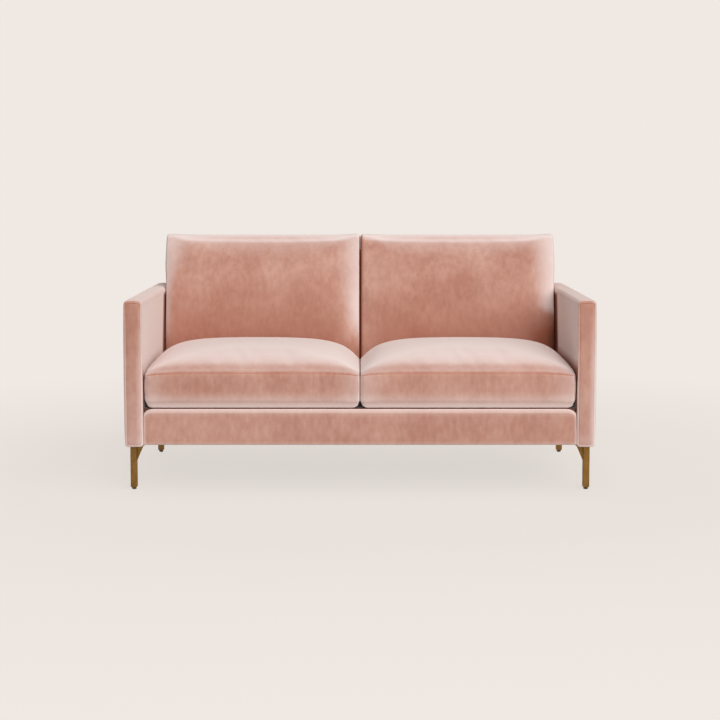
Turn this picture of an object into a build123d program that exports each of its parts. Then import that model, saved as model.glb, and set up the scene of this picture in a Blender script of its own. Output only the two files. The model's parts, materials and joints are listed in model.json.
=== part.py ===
"""Two-seat loveseat with track arms, loose seat and back cushions and slim metal legs.

Millimetres, +Z up. The origin is on the floor under the middle of the sofa, which faces -Y.
Left and right are as seen from the front, so the left arm is on -X.
"""

import math
import os

from build123d import *

os.makedirs("parts", exist_ok=True)

# Overall size
overall_width = 1560.0
overall_depth = 880.0
leg_height = 157.0  # floor to the underside of the arms
arm_body_height = 485.0  # underside to top of an arm
arm_thickness = 60.0
arm_edge_radius = 8.0
base_lift = 7.0  # underside of the seat above the underside of the arms
rail_height = 120.0  # underside of the seat to the deck under the cushions
back_frame_height = 491.0  # deck to the top of the upholstered back
back_top_depth = 62.0
back_edge_radius = 12.0
back_rake = 12.0  # lean of the back, in degrees

# Layers and clearances
fabric = 1.6
lining = 0.8
fit_gap = 0.3  # between pieces that only touch
glue_gap = 0.1  # round dowels, screws and glide stems
bolt_gap = 0.5  # round bolts
arm_foam = 8.0
arm_board = 3.0
rail_foam = 10.0
back_foam = 12.0
back_board_thickness = 3.0
deck_pad_thickness = 8.0

# Wooden frame
arm_post_width = 55.0
arm_top_rail_height = 45.0
arm_bottom_rail_height = 75.0
rail_inset = 3.0  # face of the front rail behind the arm fronts
rail_thickness = 30.0
rail_lip = 12.0  # upholstered part of the front rail's top
rail_roll_radius = 13.0
rail_corner_radius = 17.0
stretcher_width = 30.0
stretcher_drop = 30.0
corner_block_leg = 70.0
corner_block_inset = 20.0
back_post_width = 30.0
back_top_rail_height = 40.0
back_lower_rail_height = 60.0
back_lower_rail_depth = 25.0
back_lower_rail_lift = 8.0
dowel_radius = 5.0
dowel_length = 40.0
dowel_inset = 25.0

# Suspension
spring_count = 8
spring_wire_radius = 1.9
spring_width = 48.0
spring_pitch = 27.0
spring_side_inset = 70.0
spring_lift = 0.2
clip_width = 12.0
clip_depth = 14.0
clip_height = 6.0
clip_inset = 1.0
strap_count = 8
strap_width = 60.0
strap_thickness = 2.0
strap_end_inset = 6.0
dust_cover_inset = 20.0

# Seat cushions
seat_arm_gap = 7.0
seat_middle_gap = 4.0
seat_front_inset = 6.0
seat_back_gap = 10.0
seat_box_height = 116.0  # deck to the top seam
seat_crown = 84.0
seat_corner_radius = 18.0
seat_end_radius = 16.0

# Back cushions
back_side_gap = 2.0
back_middle_gap = 4.0
back_cushion_height = 539.0  # along the lean of the back
back_cushion_thickness = 116.0
back_cushion_crown = 45.0
back_cushion_sag = 7.0  # how far the middle of the top lies below its corners
back_corner_radius = 12.0
back_end_radius = 14.0

# Both kinds of cushion
crown_power = 2.4  # 2 is a round crown, more is flatter with steeper shoulders
crown_shoulder = 0.65  # where the flat middle arc of a crown meets its shoulder arcs
edge_crown = 6.0  # crown left at the ends
core_gap = 0.5
section_shares = (0, 0.35, 0.6, 0.8)  # places of the sections from the middle to the round end
section_turns = (0, 45, 90)  # places of the sections round the end, in degrees

# Zips
zip_end_inset = 115.0
zip_tape_width = 28.0
zip_tape_thickness = 0.8
zip_chain_width = 6.0
zip_chain_thickness = 1.6
slider_length = 12.0
slider_width = 9.0
slider_height = 2.6
slider_inset = 6.0
pull_length = 26.0
pull_width = 7.0
pull_thickness = 1.0

# Legs
leg_width = 22.0
leg_wall = 2.0
leg_corner_radius = 2.5
leg_side_inset = 6.0  # leg inside the outer face of the arm
leg_end_inset = 73.0  # leg behind the front, or ahead of the rear, of the arm
leg_chamfer = 4.0
leg_plug = 10.0  # closed end of the leg's tube
plate_thickness = 4.0
plate_width = 54.0
plate_length = 96.0
plate_shift = 15.0  # plate centre, from the leg towards the middle of the sofa
gusset_width = 24.0
gusset_height = 56.0
gusset_thickness = 5.0
glide_height = 5.0
glide_radius = 7.5
glide_edge = 1.0
glide_stem_radius = 3.9

# Screws and bolts
screw_radius = 2.2
screw_length = 35.0
screw_head_radius = 4.5
screw_head_height = 3.0
screw_inset = 8.0  # from the ends of the plate
screw_side_inset = 6.0  # from the sides of the arm's bottom rail
bolt_radius = 4.0
bolt_length = 70.0
bolt_head_radius = 7.5
bolt_head_height = 5.3
bolt_flange_radius = 9.0
bolt_flange_thickness = 1.6
insert_radius = 6.0
insert_length = 20.0
seat_bolt_inset = 150.0
back_bolt_low = 40.0  # lower bolt above the deck
back_bolt_high = 80.0  # upper bolt below the top of the arm frame

SIDES = (("left", -1), ("right", 1))
ENDS = (("front", -1), ("rear", 1))

# Main planes of the sofa
half_width = overall_width / 2
front = -overall_depth / 2
rear = overall_depth / 2
arm_height = leg_height + arm_body_height
arm_inner = half_width - arm_thickness
arm_centre = half_width - arm_thickness / 2
base_bottom = leg_height + base_lift
deck_height = base_bottom + rail_height
back_height = deck_height + back_frame_height

# Lean of the back, and the plane that the back cushions rest against
rake = math.radians(back_rake)
rise = Vector(0, math.sin(rake), math.cos(rake))
forward = Vector(0, -math.cos(rake), math.sin(rake))
inside_deck = rear - back_top_depth - back_frame_height * math.tan(rake)

# Layers of an arm, as distances inwards from its faces
pad_start = fabric + fit_gap
arm_board_start = pad_start + arm_foam
arm_frame_start = arm_board_start + arm_board
arm_frame_thickness = arm_thickness - 2 * arm_frame_start
arm_frame_bottom = leg_height + pad_start
arm_frame_top = arm_height - arm_board_start
arm_frame_front = front + arm_board_start
arm_frame_rear = rear - arm_board_start
arm_front_joint = arm_frame_front + arm_post_width
arm_rear_joint = arm_frame_rear - arm_post_width

# Seat frame
seat_frame_half = arm_inner - fit_gap
fold_bottom = base_bottom + lining
wood_bottom = fold_bottom + pad_start
wood_top = deck_height - fabric - deck_pad_thickness - clip_height - 2 * fit_gap
rail_face = front + rail_inset
rail_front = rail_face + pad_start + rail_foam
rail_back = rail_front + rail_thickness
lip_end = rail_front + rail_lip
back_rail_rear = inside_deck - fit_gap
back_rail_front = back_rail_rear - rail_thickness
side_rail_x = seat_frame_half - rail_thickness / 2

# Layers of the back, as distances inwards from its faces
back_web_start = pad_start + back_foam
back_wood_front = back_web_start + strap_thickness + fit_gap
back_wood_top = max(back_web_start, back_edge_radius)
back_wood_rear = pad_start + back_board_thickness
back_half = seat_frame_half - pad_start
back_rail_top = back_height - back_wood_top
back_post_top = back_rail_top - back_top_rail_height
back_post_x = back_half - back_post_width / 2
lower_rail_bottom = deck_height + back_lower_rail_lift
lower_rail_top = lower_rail_bottom + back_lower_rail_height

# Legs
leg_x = half_width - leg_side_inset - leg_width / 2
leg_y = rear - leg_end_inset - leg_width / 2
plate_y = leg_y - plate_shift
plate_bottom = leg_height - plate_thickness


def save(piece, name):
    """Label a finished piece and write it."""
    piece.part.label = name
    export_step(piece.part, f"parts/{name}.step")


def block(low, high, mode=Mode.ADD):
    """Box between two corners."""
    size = [b - a for a, b in zip(low, high)]
    middle = [(a + b) / 2 for a, b in zip(low, high)]
    with Locations(tuple(middle)):
        Box(*size, mode=mode)


def bore(planes, radius, length):
    """Round holes centred on the given planes, along their normals."""
    with Locations(*planes):
        Cylinder(radius, length, mode=Mode.SUBTRACT)


def inside_back(z, inset):
    """Depth of the leaning inside back at a height, moved back by an inset square to it."""
    return inside_deck + (z - deck_height) * math.tan(rake) + inset / math.cos(rake)


def back_outline(front_inset, top_inset, rear_inset, bottom_inset, top=back_height):
    """Side view of the back, drawn in by an inset on each side."""
    knee = deck_height - front_inset * math.tan(rake / 2)
    low = fold_bottom + bottom_inset
    high = top - top_inset
    return [
        (inside_deck + front_inset, low),
        (inside_deck + front_inset, knee),
        (inside_back(high, front_inset), high),
        (rear - rear_inset, high),
        (rear - rear_inset, low),
    ]


def side_view(points, x):
    """Side-view outline as a flat face at one place across the sofa."""
    with BuildSketch(Plane.YZ.offset(x)) as view:
        with BuildLine():
            Polyline(*points, close=True)
        make_face()
    return view.sketch


# Places of the dowels, at the joint faces of the frame
rail_dowel_heights = (wood_bottom + dowel_inset, wood_top - dowel_inset)
stretcher_top = wood_top - stretcher_drop
stretcher_dowel_z = (wood_bottom + stretcher_top) / 2
seat_dowels = []
for joint_y in (rail_back, back_rail_front):
    seat_dowels.append(Plane((0, joint_y, stretcher_dowel_z), z_dir=(0, 1, 0)))
    for _, side in SIDES:
        for z in rail_dowel_heights:
            seat_dowels.append(Plane((side * side_rail_x, joint_y, z), z_dir=(0, 1, 0)))

back_post_places = (-back_post_x, 0, back_post_x)
back_joint_y = (inside_back(back_post_top, back_wood_front) + rear - back_wood_rear) / 2
lower_rail_z = (lower_rail_bottom + lower_rail_top) / 2
lower_rail_y = inside_back(lower_rail_z, back_wood_front + back_lower_rail_depth / 2)
back_dowels = []
for x in back_post_places:
    back_dowels.append(Plane((x, back_joint_y, back_post_top)))
for _, side in SIDES:
    for x in (back_post_width / 2, back_post_x - back_post_width / 2):
        back_dowels.append(Plane((side * x, lower_rail_y, lower_rail_z), z_dir=(1, 0, 0)))

arm_dowel_heights = (
    arm_frame_bottom + dowel_inset,
    arm_frame_bottom + arm_bottom_rail_height - dowel_inset,
    arm_frame_top - arm_top_rail_height / 2,
)
arm_dowels = []
for _, side in SIDES:
    for joint_y in (arm_front_joint, arm_rear_joint):
        for z in arm_dowel_heights:
            arm_dowels.append(Plane((side * arm_centre, joint_y, z), z_dir=(0, 1, 0)))

# Places of the bolts, at the inner faces that their flanges press on
shared_low = max(wood_bottom, arm_frame_bottom)
shared_high = min(wood_top, arm_frame_bottom + arm_bottom_rail_height)
seat_bolt_z = (shared_low + shared_high) / 2
seat_bolt_x = seat_frame_half - rail_thickness
back_bolt_x = back_half - back_post_width
back_bolt_y = (arm_rear_joint + arm_frame_rear) / 2
bolt_seats = []
insert_mouths = []
for _, side in SIDES:
    bolt_places = [
        (seat_bolt_x, rail_back + seat_bolt_inset, seat_bolt_z),
        (seat_bolt_x, back_rail_front - seat_bolt_inset, seat_bolt_z),
        (back_bolt_x, back_bolt_y, deck_height + back_bolt_low),
        (back_bolt_x, back_bolt_y, arm_frame_top - back_bolt_high),
    ]
    for x, y, z in bolt_places:
        bolt_seats.append(Plane((side * x, y, z), z_dir=(side, 0, 0)))
        mouth_x = arm_inner + arm_frame_start
        insert_mouths.append(Plane((side * mouth_x, y, z), z_dir=(side, 0, 0)))

# Places of the leg screws, at the undersides of the leg plates
screw_x = arm_frame_thickness / 2 - screw_side_inset
screw_y = plate_length / 2 - screw_inset
leg_screw_seats = []
for _, side in SIDES:
    for _, end in ENDS:
        for dx in (-screw_x, screw_x):
            for dy in (-screw_y, screw_y):
                place = (side * arm_centre + dx, end * plate_y + dy, plate_bottom)
                leg_screw_seats.append(Plane(place))

bolt_bore = bolt_radius + bolt_gap
bolt_reach = 2 * bolt_length
screw_bore = screw_radius + glue_gap
screw_reach = 2 * (screw_length + glue_gap)
dowel_bore = dowel_radius + glue_gap
dowel_reach = dowel_length + 2 * glue_gap
insert_bore = insert_radius + glue_gap
insert_reach = 2 * (insert_length + glue_gap)
bolt_tip_reach = 2 * (bolt_length + bolt_gap)

# Arms: frame members
for side_name, side in SIDES:
    x_low = side * arm_centre - arm_frame_thickness / 2
    x_high = side * arm_centre + arm_frame_thickness / 2
    members = {
        "front_post": (arm_frame_front, arm_front_joint, arm_frame_bottom, arm_frame_top),
        "rear_post": (arm_rear_joint, arm_frame_rear, arm_frame_bottom, arm_frame_top),
        "top_rail": (arm_front_joint, arm_rear_joint, arm_frame_top - arm_top_rail_height, arm_frame_top),
        "bottom_rail": (
            arm_front_joint,
            arm_rear_joint,
            arm_frame_bottom,
            arm_frame_bottom + arm_bottom_rail_height,
        ),
    }
    for member_name, (y_low, y_high, z_low, z_high) in members.items():
        with BuildPart() as arm_member:
            block((x_low, y_low, z_low), (x_high, y_high, z_high))
            bore(arm_dowels, dowel_bore, dowel_reach)
            bore(insert_mouths, insert_bore, insert_reach)
            bore(bolt_seats, bolt_bore, bolt_tip_reach)
            bore(leg_screw_seats, screw_bore, screw_reach)
        save(arm_member, f"{side_name}_arm_{member_name}")

# Arms: thin boards on both sides of the frame
with BuildPart() as arm_boards:
    for _, side in SIDES:
        for face in (-1, 1):
            x_middle = side * arm_centre + face * (arm_frame_thickness + arm_board) / 2
            block(
                (x_middle - arm_board / 2, arm_frame_front, arm_frame_bottom),
                (x_middle + arm_board / 2, arm_frame_rear, arm_frame_top),
            )
    bore(bolt_seats, bolt_bore, bolt_reach)
save(arm_boards, "arm_boards")


def arm_shell(side, inset, bottom):
    """Arm block drawn in by an inset, with its edges rounded to match."""
    x_half = arm_thickness / 2 - inset
    block(
        (side * arm_centre - x_half, front + inset, bottom),
        (side * arm_centre + x_half, rear - inset, arm_height - inset),
    )


# Arms: foam padding, open underneath
for side_name, side in SIDES:
    with BuildPart() as arm_padding:
        arm_shell(side, pad_start, arm_frame_bottom)
        fillet(arm_padding.edges(), radius=max(arm_edge_radius - pad_start, fit_gap))
        x_half = arm_thickness / 2 - arm_board_start
        block(
            (side * arm_centre - x_half, arm_frame_front, arm_frame_bottom),
            (side * arm_centre + x_half, arm_frame_rear, arm_frame_top),
            mode=Mode.SUBTRACT,
        )
        bore(bolt_seats, bolt_bore, bolt_reach)
    save(arm_padding, f"{side_name}_arm_padding")

# Arms: velvet covers, closed all round
for side_name, side in SIDES:
    with BuildPart() as arm_hollow:
        arm_shell(side, fabric, leg_height + fabric)
        fillet(arm_hollow.edges(), radius=max(arm_edge_radius - fabric, fit_gap))
    with BuildPart() as arm_cover:
        arm_shell(side, 0, leg_height)
        fillet(arm_cover.edges(), radius=arm_edge_radius)
        add(arm_hollow.part, mode=Mode.SUBTRACT)
        bore(bolt_seats, bolt_bore, bolt_reach)
        bore(leg_screw_seats, screw_bore, screw_reach)
    save(arm_cover, f"{side_name}_arm_cover")

# Seat frame: rails
front_rail_half = seat_frame_half - pad_start
with BuildPart() as front_rail:
    block((-front_rail_half, rail_front, wood_bottom), (front_rail_half, rail_back, wood_top))
    bore(seat_dowels, dowel_bore, dowel_reach)
save(front_rail, "front_rail")

with BuildPart() as seat_back_rail:
    block((-seat_frame_half, back_rail_front, wood_bottom), (seat_frame_half, back_rail_rear, wood_top))
    bore(seat_dowels, dowel_bore, dowel_reach)
save(seat_back_rail, "seat_back_rail")

for side_name, side in SIDES:
    x_low = side * side_rail_x - rail_thickness / 2
    x_high = side * side_rail_x + rail_thickness / 2
    with BuildPart() as side_rail:
        block((x_low, rail_back, wood_bottom), (x_high, back_rail_front, wood_top))
        bore(seat_dowels, dowel_bore, dowel_reach)
        bore(bolt_seats, bolt_bore, bolt_reach)
    save(side_rail, f"{side_name}_side_rail")

with BuildPart() as centre_stretcher:
    block(
        (-stretcher_width / 2, rail_back, wood_bottom),
        (stretcher_width / 2, back_rail_front, stretcher_top),
    )
    bore(seat_dowels, dowel_bore, dowel_reach)
save(centre_stretcher, "centre_stretcher")

# Seat frame: triangular blocks in the four inner corners
corner_x = seat_frame_half - rail_thickness
corner_low = wood_bottom + corner_block_inset
corner_high = wood_top - corner_block_inset
with BuildPart() as corner_blocks:
    for _, side in SIDES:
        for corner_y, inward in ((rail_back, 1), (back_rail_front, -1)):
            corner = (side * corner_x, corner_y)
            along_side = (side * corner_x, corner_y + inward * corner_block_leg)
            along_rail = (side * (corner_x - corner_block_leg), corner_y)
            with BuildSketch(Plane.XY.offset(corner_low)):
                with BuildLine():
                    Polyline(corner, along_side, along_rail, close=True)
                make_face()
            extrude(amount=corner_high - corner_low)
save(corner_blocks, "corner_blocks")

# Back frame
with BuildPart() as back_posts:
    outline = back_outline(back_wood_front, 0, back_wood_rear, pad_start, top=back_post_top)
    for x in back_post_places:
        extrude(side_view(outline, x - back_post_width / 2), amount=back_post_width)
    bore(back_dowels, dowel_bore, dowel_reach)
    bore(bolt_seats, bolt_bore, bolt_reach)
save(back_posts, "back_posts")

with BuildPart() as back_top_rail:
    outline = [
        (inside_back(back_post_top, back_wood_front), back_post_top),
        (inside_back(back_rail_top, back_wood_front), back_rail_top),
        (rear - back_wood_rear, back_rail_top),
        (rear - back_wood_rear, back_post_top),
    ]
    extrude(side_view(outline, -back_half), amount=2 * back_half)
    bore(back_dowels, dowel_bore, dowel_reach)
save(back_top_rail, "back_top_rail")

with BuildPart() as back_lower_rails:
    lower_rail_inset = back_wood_front + back_lower_rail_depth
    outline = [
        (inside_back(lower_rail_bottom, back_wood_front), lower_rail_bottom),
        (inside_back(lower_rail_top, back_wood_front), lower_rail_top),
        (inside_back(lower_rail_top, lower_rail_inset), lower_rail_top),
        (inside_back(lower_rail_bottom, lower_rail_inset), lower_rail_bottom),
    ]
    lower_rail_length = back_post_x - back_post_width
    for x in (back_post_width / 2 - back_post_x, back_post_width / 2):
        extrude(side_view(outline, x), amount=lower_rail_length)
    bore(back_dowels, dowel_bore, dowel_reach)
save(back_lower_rails, "back_lower_rails")

with BuildPart() as back_board:
    block(
        (-back_half, rear - back_wood_rear, fold_bottom + pad_start),
        (back_half, rear - pad_start, back_rail_top),
    )
save(back_board, "back_board")

# Dowels of the whole frame
with BuildPart() as frame_dowels:
    with Locations(*seat_dowels, *back_dowels, *arm_dowels):
        Cylinder(dowel_radius, dowel_length)
save(frame_dowels, "frame_dowels")

# Flanged bolts and threaded inserts between the arms and the seat and back frames
with BuildPart() as arm_bolts:
    with BuildSketch(*bolt_seats):
        RegularPolygon(bolt_head_radius, 6)
    extrude(amount=-bolt_flange_thickness - bolt_head_height)
    with BuildSketch(*bolt_seats):
        Circle(bolt_flange_radius)
    extrude(amount=-bolt_flange_thickness)
    with BuildSketch(*bolt_seats):
        Circle(bolt_radius)
    extrude(amount=bolt_length)
save(arm_bolts, "arm_bolts")

with BuildPart() as threaded_inserts:
    with BuildSketch(*insert_mouths):
        Circle(insert_radius)
        Circle(bolt_radius + glue_gap, mode=Mode.SUBTRACT)
    extrude(amount=insert_length)
save(threaded_inserts, "threaded_inserts")

# Sinuous seat springs, from a clip on the front rail to a clip on the rear rail
clip_front_y = rail_back - clip_inset - clip_depth / 2
clip_rear_y = back_rail_front + clip_inset + clip_depth / 2
spring_span = clip_rear_y - clip_front_y
spring_runs = 2 * round(spring_span / spring_pitch / 2)
run_step = spring_span / spring_runs
bend_radius = run_step / 2
run_half = spring_width / 2 - bend_radius
spring_z = wood_top + spring_lift + spring_wire_radius
spring_x_end = seat_frame_half - spring_side_inset
spring_x_step = 2 * spring_x_end / (spring_count - 1)
spring_places = [-spring_x_end + i * spring_x_step for i in range(spring_count)]

with BuildPart() as one_spring:
    with BuildLine() as spring_path:
        for run in range(spring_runs + 1):
            y = clip_front_y + run * run_step
            way = 1 if run % 2 == 0 else -1
            Line((-way * run_half, y, spring_z), (way * run_half, y, spring_z))
            if run < spring_runs:
                ThreePointArc(
                    (way * run_half, y, spring_z),
                    (way * (run_half + bend_radius), y + bend_radius, spring_z),
                    (way * run_half, y + run_step, spring_z),
                )
    with BuildSketch(Plane(spring_path.line @ 0, z_dir=spring_path.line % 0)):
        Circle(spring_wire_radius)
    sweep()

with BuildPart() as seat_springs:
    for x in spring_places:
        with Locations((x, 0, 0)):
            add(one_spring.part)
save(seat_springs, "seat_springs")

with BuildPart() as spring_clips:
    for x in spring_places:
        for y in (clip_front_y, clip_rear_y):
            block(
                (x - clip_width / 2, y - clip_depth / 2, wood_top),
                (x + clip_width / 2, y + clip_depth / 2, wood_top + clip_height),
            )
    wire_holes = []
    for x in spring_places:
        for y in (clip_front_y, clip_rear_y):
            wire_holes.append(Plane((x, y, spring_z), z_dir=(1, 0, 0)))
    bore(wire_holes, spring_wire_radius + glue_gap, clip_width)
save(spring_clips, "spring_clips")

# Webbing up the inside of the back frame, between the posts
strap_inset = back_web_start + (strap_thickness + fit_gap) / 2
strap_low = (back_lower_rail_lift + strap_inset * math.sin(rake)) / math.cos(rake) + strap_end_inset
strap_high = (back_rail_top - deck_height + strap_inset * math.sin(rake)) / math.cos(rake) - strap_end_inset
straps_per_bay = strap_count // 2
bay_inner = back_post_width / 2
bay_step = (back_post_x - back_post_width) / straps_per_bay
strap_origin = Vector(0, inside_deck, deck_height) - forward * strap_inset
strap_middle = strap_origin + rise * ((strap_low + strap_high) / 2)
strap_plane = Plane(strap_middle, x_dir=(1, 0, 0), z_dir=forward)
with BuildPart(strap_plane) as back_webbing:
    for _, side in SIDES:
        for i in range(straps_per_bay):
            with Locations((side * (bay_inner + (i + 0.5) * bay_step), 0)):
                Box(strap_width, strap_high - strap_low, strap_thickness)
save(back_webbing, "back_webbing")

# Deck under the seat cushions
deck_half = seat_frame_half - fit_gap
deck_front = lip_end + fit_gap
deck_rear = inside_deck - fit_gap
with BuildPart() as deck_pad:
    pad_bottom = wood_top + clip_height + fit_gap
    block(
        (-deck_half, deck_front, pad_bottom),
        (deck_half, deck_rear, pad_bottom + deck_pad_thickness),
    )
save(deck_pad, "deck_pad")

with BuildPart() as deck_cloth:
    block((-deck_half, deck_front, deck_height - fabric), (deck_half, deck_rear, deck_height))
save(deck_cloth, "deck_cloth")


def rail_form(inset, bottom, back_y):
    """Front rail upholstery drawn in by an inset: rounded top corners and a rolled front edge."""
    x_half = seat_frame_half - inset
    top = deck_height - inset
    face = rail_face + inset
    corner = rail_corner_radius - inset
    with BuildPart() as form:
        with BuildSketch(Plane.XZ.offset(-back_y)):
            with BuildLine():
                Polyline((-x_half, top), (-x_half, bottom), (x_half, bottom), (x_half, top), close=True)
            outline = make_face()
            fillet(outline.vertices().sort_by(Axis.Y)[-2:], radius=corner)
        extrude(amount=back_y - face)
        front_edges = form.faces().sort_by(Axis.Y)[0].edges().sort_by(Axis.Z)[1:]
        fillet(front_edges, radius=min(rail_roll_radius, rail_corner_radius - fit_gap) - inset)
    return form.part


# Front rail padding and cover
rail_foam_form = rail_form(pad_start, wood_bottom, lip_end)
rail_cover_form = rail_form(0, fold_bottom, lip_end)
rail_hollow = rail_form(fabric, fold_bottom + fabric, lip_end + fabric)
with BuildPart() as front_rail_padding:
    add(rail_foam_form)
    block(
        (-seat_frame_half, rail_front, wood_bottom),
        (seat_frame_half, lip_end, wood_top),
        mode=Mode.SUBTRACT,
    )
save(front_rail_padding, "front_rail_padding")

with BuildPart() as front_rail_cover:
    add(rail_cover_form)
    add(rail_hollow, mode=Mode.SUBTRACT)
    block(
        (-front_rail_half, lip_end, fold_bottom),
        (front_rail_half, rail_back, fold_bottom + fabric),
    )
save(front_rail_cover, "front_rail_cover")


def back_form(inset, bottom_inset):
    """Upholstered back drawn in by an inset, with its two long top edges rounded."""
    x_half = seat_frame_half - inset
    with BuildPart() as form:
        outline = back_outline(inset, inset, inset, bottom_inset)
        extrude(side_view(outline, -x_half), amount=2 * x_half)
        top_edges = form.faces().sort_by(Axis.Z)[-1].edges().filter_by(Axis.X)
        fillet(top_edges, radius=back_edge_radius - inset)
    return form.part


# Back padding and cover
back_foam_form = back_form(pad_start, pad_start)
back_cover_form = back_form(0, 0)
back_hollow = back_form(fabric, fabric)
with BuildPart() as back_padding:
    add(back_foam_form)
    frame_space = back_outline(back_web_start, back_wood_top, 0, 0)
    extrude(side_view(frame_space, -seat_frame_half), amount=2 * seat_frame_half, mode=Mode.SUBTRACT)
save(back_padding, "back_padding")

with BuildPart() as back_cover:
    add(back_cover_form)
    add(back_hollow, mode=Mode.SUBTRACT)
    bore(bolt_seats, bolt_bore, bolt_reach)
save(back_cover, "back_cover")

with BuildPart() as dust_cover:
    block(
        (-seat_frame_half, rail_face + dust_cover_inset, base_bottom),
        (seat_frame_half, rear - dust_cover_inset, fold_bottom),
    )
save(dust_cover, "dust_cover")


def crown_share(place):
    """Height of the crown, from 1 in the middle to 0 at the edge, where place is -1 or 1."""
    return 1 - abs(place) ** crown_power


def cushion_section(plane, near, far, low, edge, crown, corner):
    """Section of a cushion: flat underside with round corners, straight sides, crowned top."""
    middle = (near + far) / 2
    half = (far - near) / 2
    shoulder_middle = (1 + crown_shoulder) / 2

    def top(place):
        return (middle + half * place, edge + crown * crown_share(place))

    with BuildSketch(plane) as section:
        with BuildLine():
            Line((near + corner, low), (far - corner, low))
            RadiusArc((far - corner, low), (far, low + corner), -corner)
            Line((far, low + corner), (far, edge))
            ThreePointArc(top(1), top(shoulder_middle), top(crown_shoulder))
            ThreePointArc(top(crown_shoulder), top(0), top(-crown_shoulder))
            ThreePointArc(top(-crown_shoulder), top(-shoulder_middle), top(-1))
            Line((near, edge), (near, low + corner))
            RadiusArc((near, low + corner), (near + corner, low), -corner)
        make_face()
    return section.sketch


def section_places(half, end_radius):
    """Places of a cushion's sections across its width, each with how far the round end draws it in."""
    places = []
    for share in section_shares:
        places.append((share * (half - end_radius), 0.0))
    for turn in section_turns:
        angle = math.radians(turn)
        out = half - end_radius * (1 - math.sin(angle))
        places.append((out, end_radius * (1 - math.cos(angle))))
    mirrored = [(-x, drawn) for x, drawn in places[:0:-1]]
    return mirrored + places


# Where the cushions stand
seat_width = arm_inner - seat_arm_gap - seat_middle_gap / 2
seat_centre = (seat_width + seat_middle_gap) / 2
seat_front = front + seat_front_inset
seat_low = deck_height + fit_gap
seat_edge = deck_height + seat_box_height
back_width = arm_inner - back_side_gap - back_middle_gap / 2
back_centre = (back_width + back_middle_gap) / 2
back_corner_drop = back_corner_radius - (fit_gap + back_corner_radius) * math.sin(rake) + fit_gap
back_low = back_corner_drop / math.cos(rake) - back_corner_radius


def back_front(share):
    """Depth of the back cushion's face in the middle of its width, at a share of its height."""
    along = back_low + share * (back_cushion_height - back_low)
    bulge = back_cushion_thickness + back_cushion_crown * crown_share(2 * share - 1)
    return inside_deck + along * math.sin(rake) - bulge * math.cos(rake)


face_steps = 20
seat_rear = min(back_front(step / face_steps) for step in range(face_steps + 1)) - seat_back_gap


def seat_form(side, inset):
    """Seat cushion drawn in by an inset, lofted through sections across its width."""
    half = seat_width / 2 - inset
    sections = []
    for x, drawn in section_places(half, seat_end_radius - inset):
        section = cushion_section(
            Plane.YZ.offset(side * seat_centre + x),
            seat_front + inset + drawn,
            seat_rear - inset - drawn,
            seat_low + inset + drawn,
            seat_edge - inset - drawn,
            edge_crown + (seat_crown - edge_crown) * crown_share(x / half),
            seat_corner_radius - inset,
        )
        sections.append(section)
    with BuildPart() as form:
        loft(sections, ruled=True)
    return form.part


def back_cushion_form(side, inset):
    """Back cushion drawn in by an inset, lofted the same way in the lean of the back."""
    half = back_width / 2 - inset
    sections = []
    for x, drawn in section_places(half, back_end_radius - inset):
        share = crown_share(x / half)
        origin = (side * back_centre + x, inside_deck, deck_height)
        section = cushion_section(
            Plane(origin, x_dir=rise, z_dir=(1, 0, 0)),
            back_low + inset + drawn,
            back_cushion_height - back_cushion_sag * share - inset - drawn,
            fit_gap + inset + drawn,
            back_cushion_thickness - inset - drawn,
            edge_crown + (back_cushion_crown - edge_crown) * share,
            back_corner_radius - inset,
        )
        sections.append(section)
    with BuildPart() as form:
        loft(sections, ruled=True)
    return form.part


# Seat and back cushions: a velvet cover round a filling core
for side_name, side in SIDES:
    for kind, form in (("seat", seat_form), ("back", back_cushion_form)):
        outside = form(side, 0)
        hollow = form(side, fabric)
        filling = form(side, fabric + core_gap)
        with BuildPart() as cushion_cover:
            add(outside)
            add(hollow, mode=Mode.SUBTRACT)
        save(cushion_cover, f"{side_name}_{kind}_cushion_cover")

        with BuildPart() as cushion_core:
            add(filling)
        save(cushion_core, f"{side_name}_{kind}_cushion_core")

# Zips along the rear boxing of the seat cushions and the lower boxing of the back cushions
back_zip_foot = Vector(0, inside_deck, deck_height) + rise * back_low
back_zip_foot = back_zip_foot + forward * (back_cushion_thickness / 2)
slider_lift = zip_tape_thickness + zip_chain_thickness + fit_gap
for side_name, side in SIDES:
    seat_zip_origin = (side * seat_centre, seat_rear, (seat_low + seat_edge) / 2)
    back_zip_origin = (side * back_centre, back_zip_foot.Y, back_zip_foot.Z)
    zips = {
        "seat": (Plane(seat_zip_origin, x_dir=(1, 0, 0), z_dir=(0, 1, 0)), seat_width),
        "back": (Plane(back_zip_origin, x_dir=(1, 0, 0), z_dir=-rise), back_width),
    }
    for kind, (plane, width) in zips.items():
        zip_length = width - 2 * zip_end_inset
        on_face = (Align.CENTER, Align.CENTER, Align.MIN)
        with BuildPart(plane) as cushion_zip:
            Box(zip_length, zip_tape_width, zip_tape_thickness, align=on_face)
            with Locations((0, 0, zip_tape_thickness)):
                Box(zip_length, zip_chain_width, zip_chain_thickness, align=on_face)
        save(cushion_zip, f"{side_name}_{kind}_zip")

        slider_start = slider_inset + slider_length / 2 - zip_length / 2
        pull_middle = slider_start + (pull_length - slider_length) / 2
        with BuildPart(plane) as zip_slider:
            with Locations((slider_start, 0, slider_lift)):
                Box(slider_length, slider_width, slider_height, align=on_face)
            with Locations((pull_middle, 0, slider_lift + slider_height)):
                Box(pull_length, pull_width, pull_thickness, align=on_face)
        save(zip_slider, f"{side_name}_{kind}_zip_slider")

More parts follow.
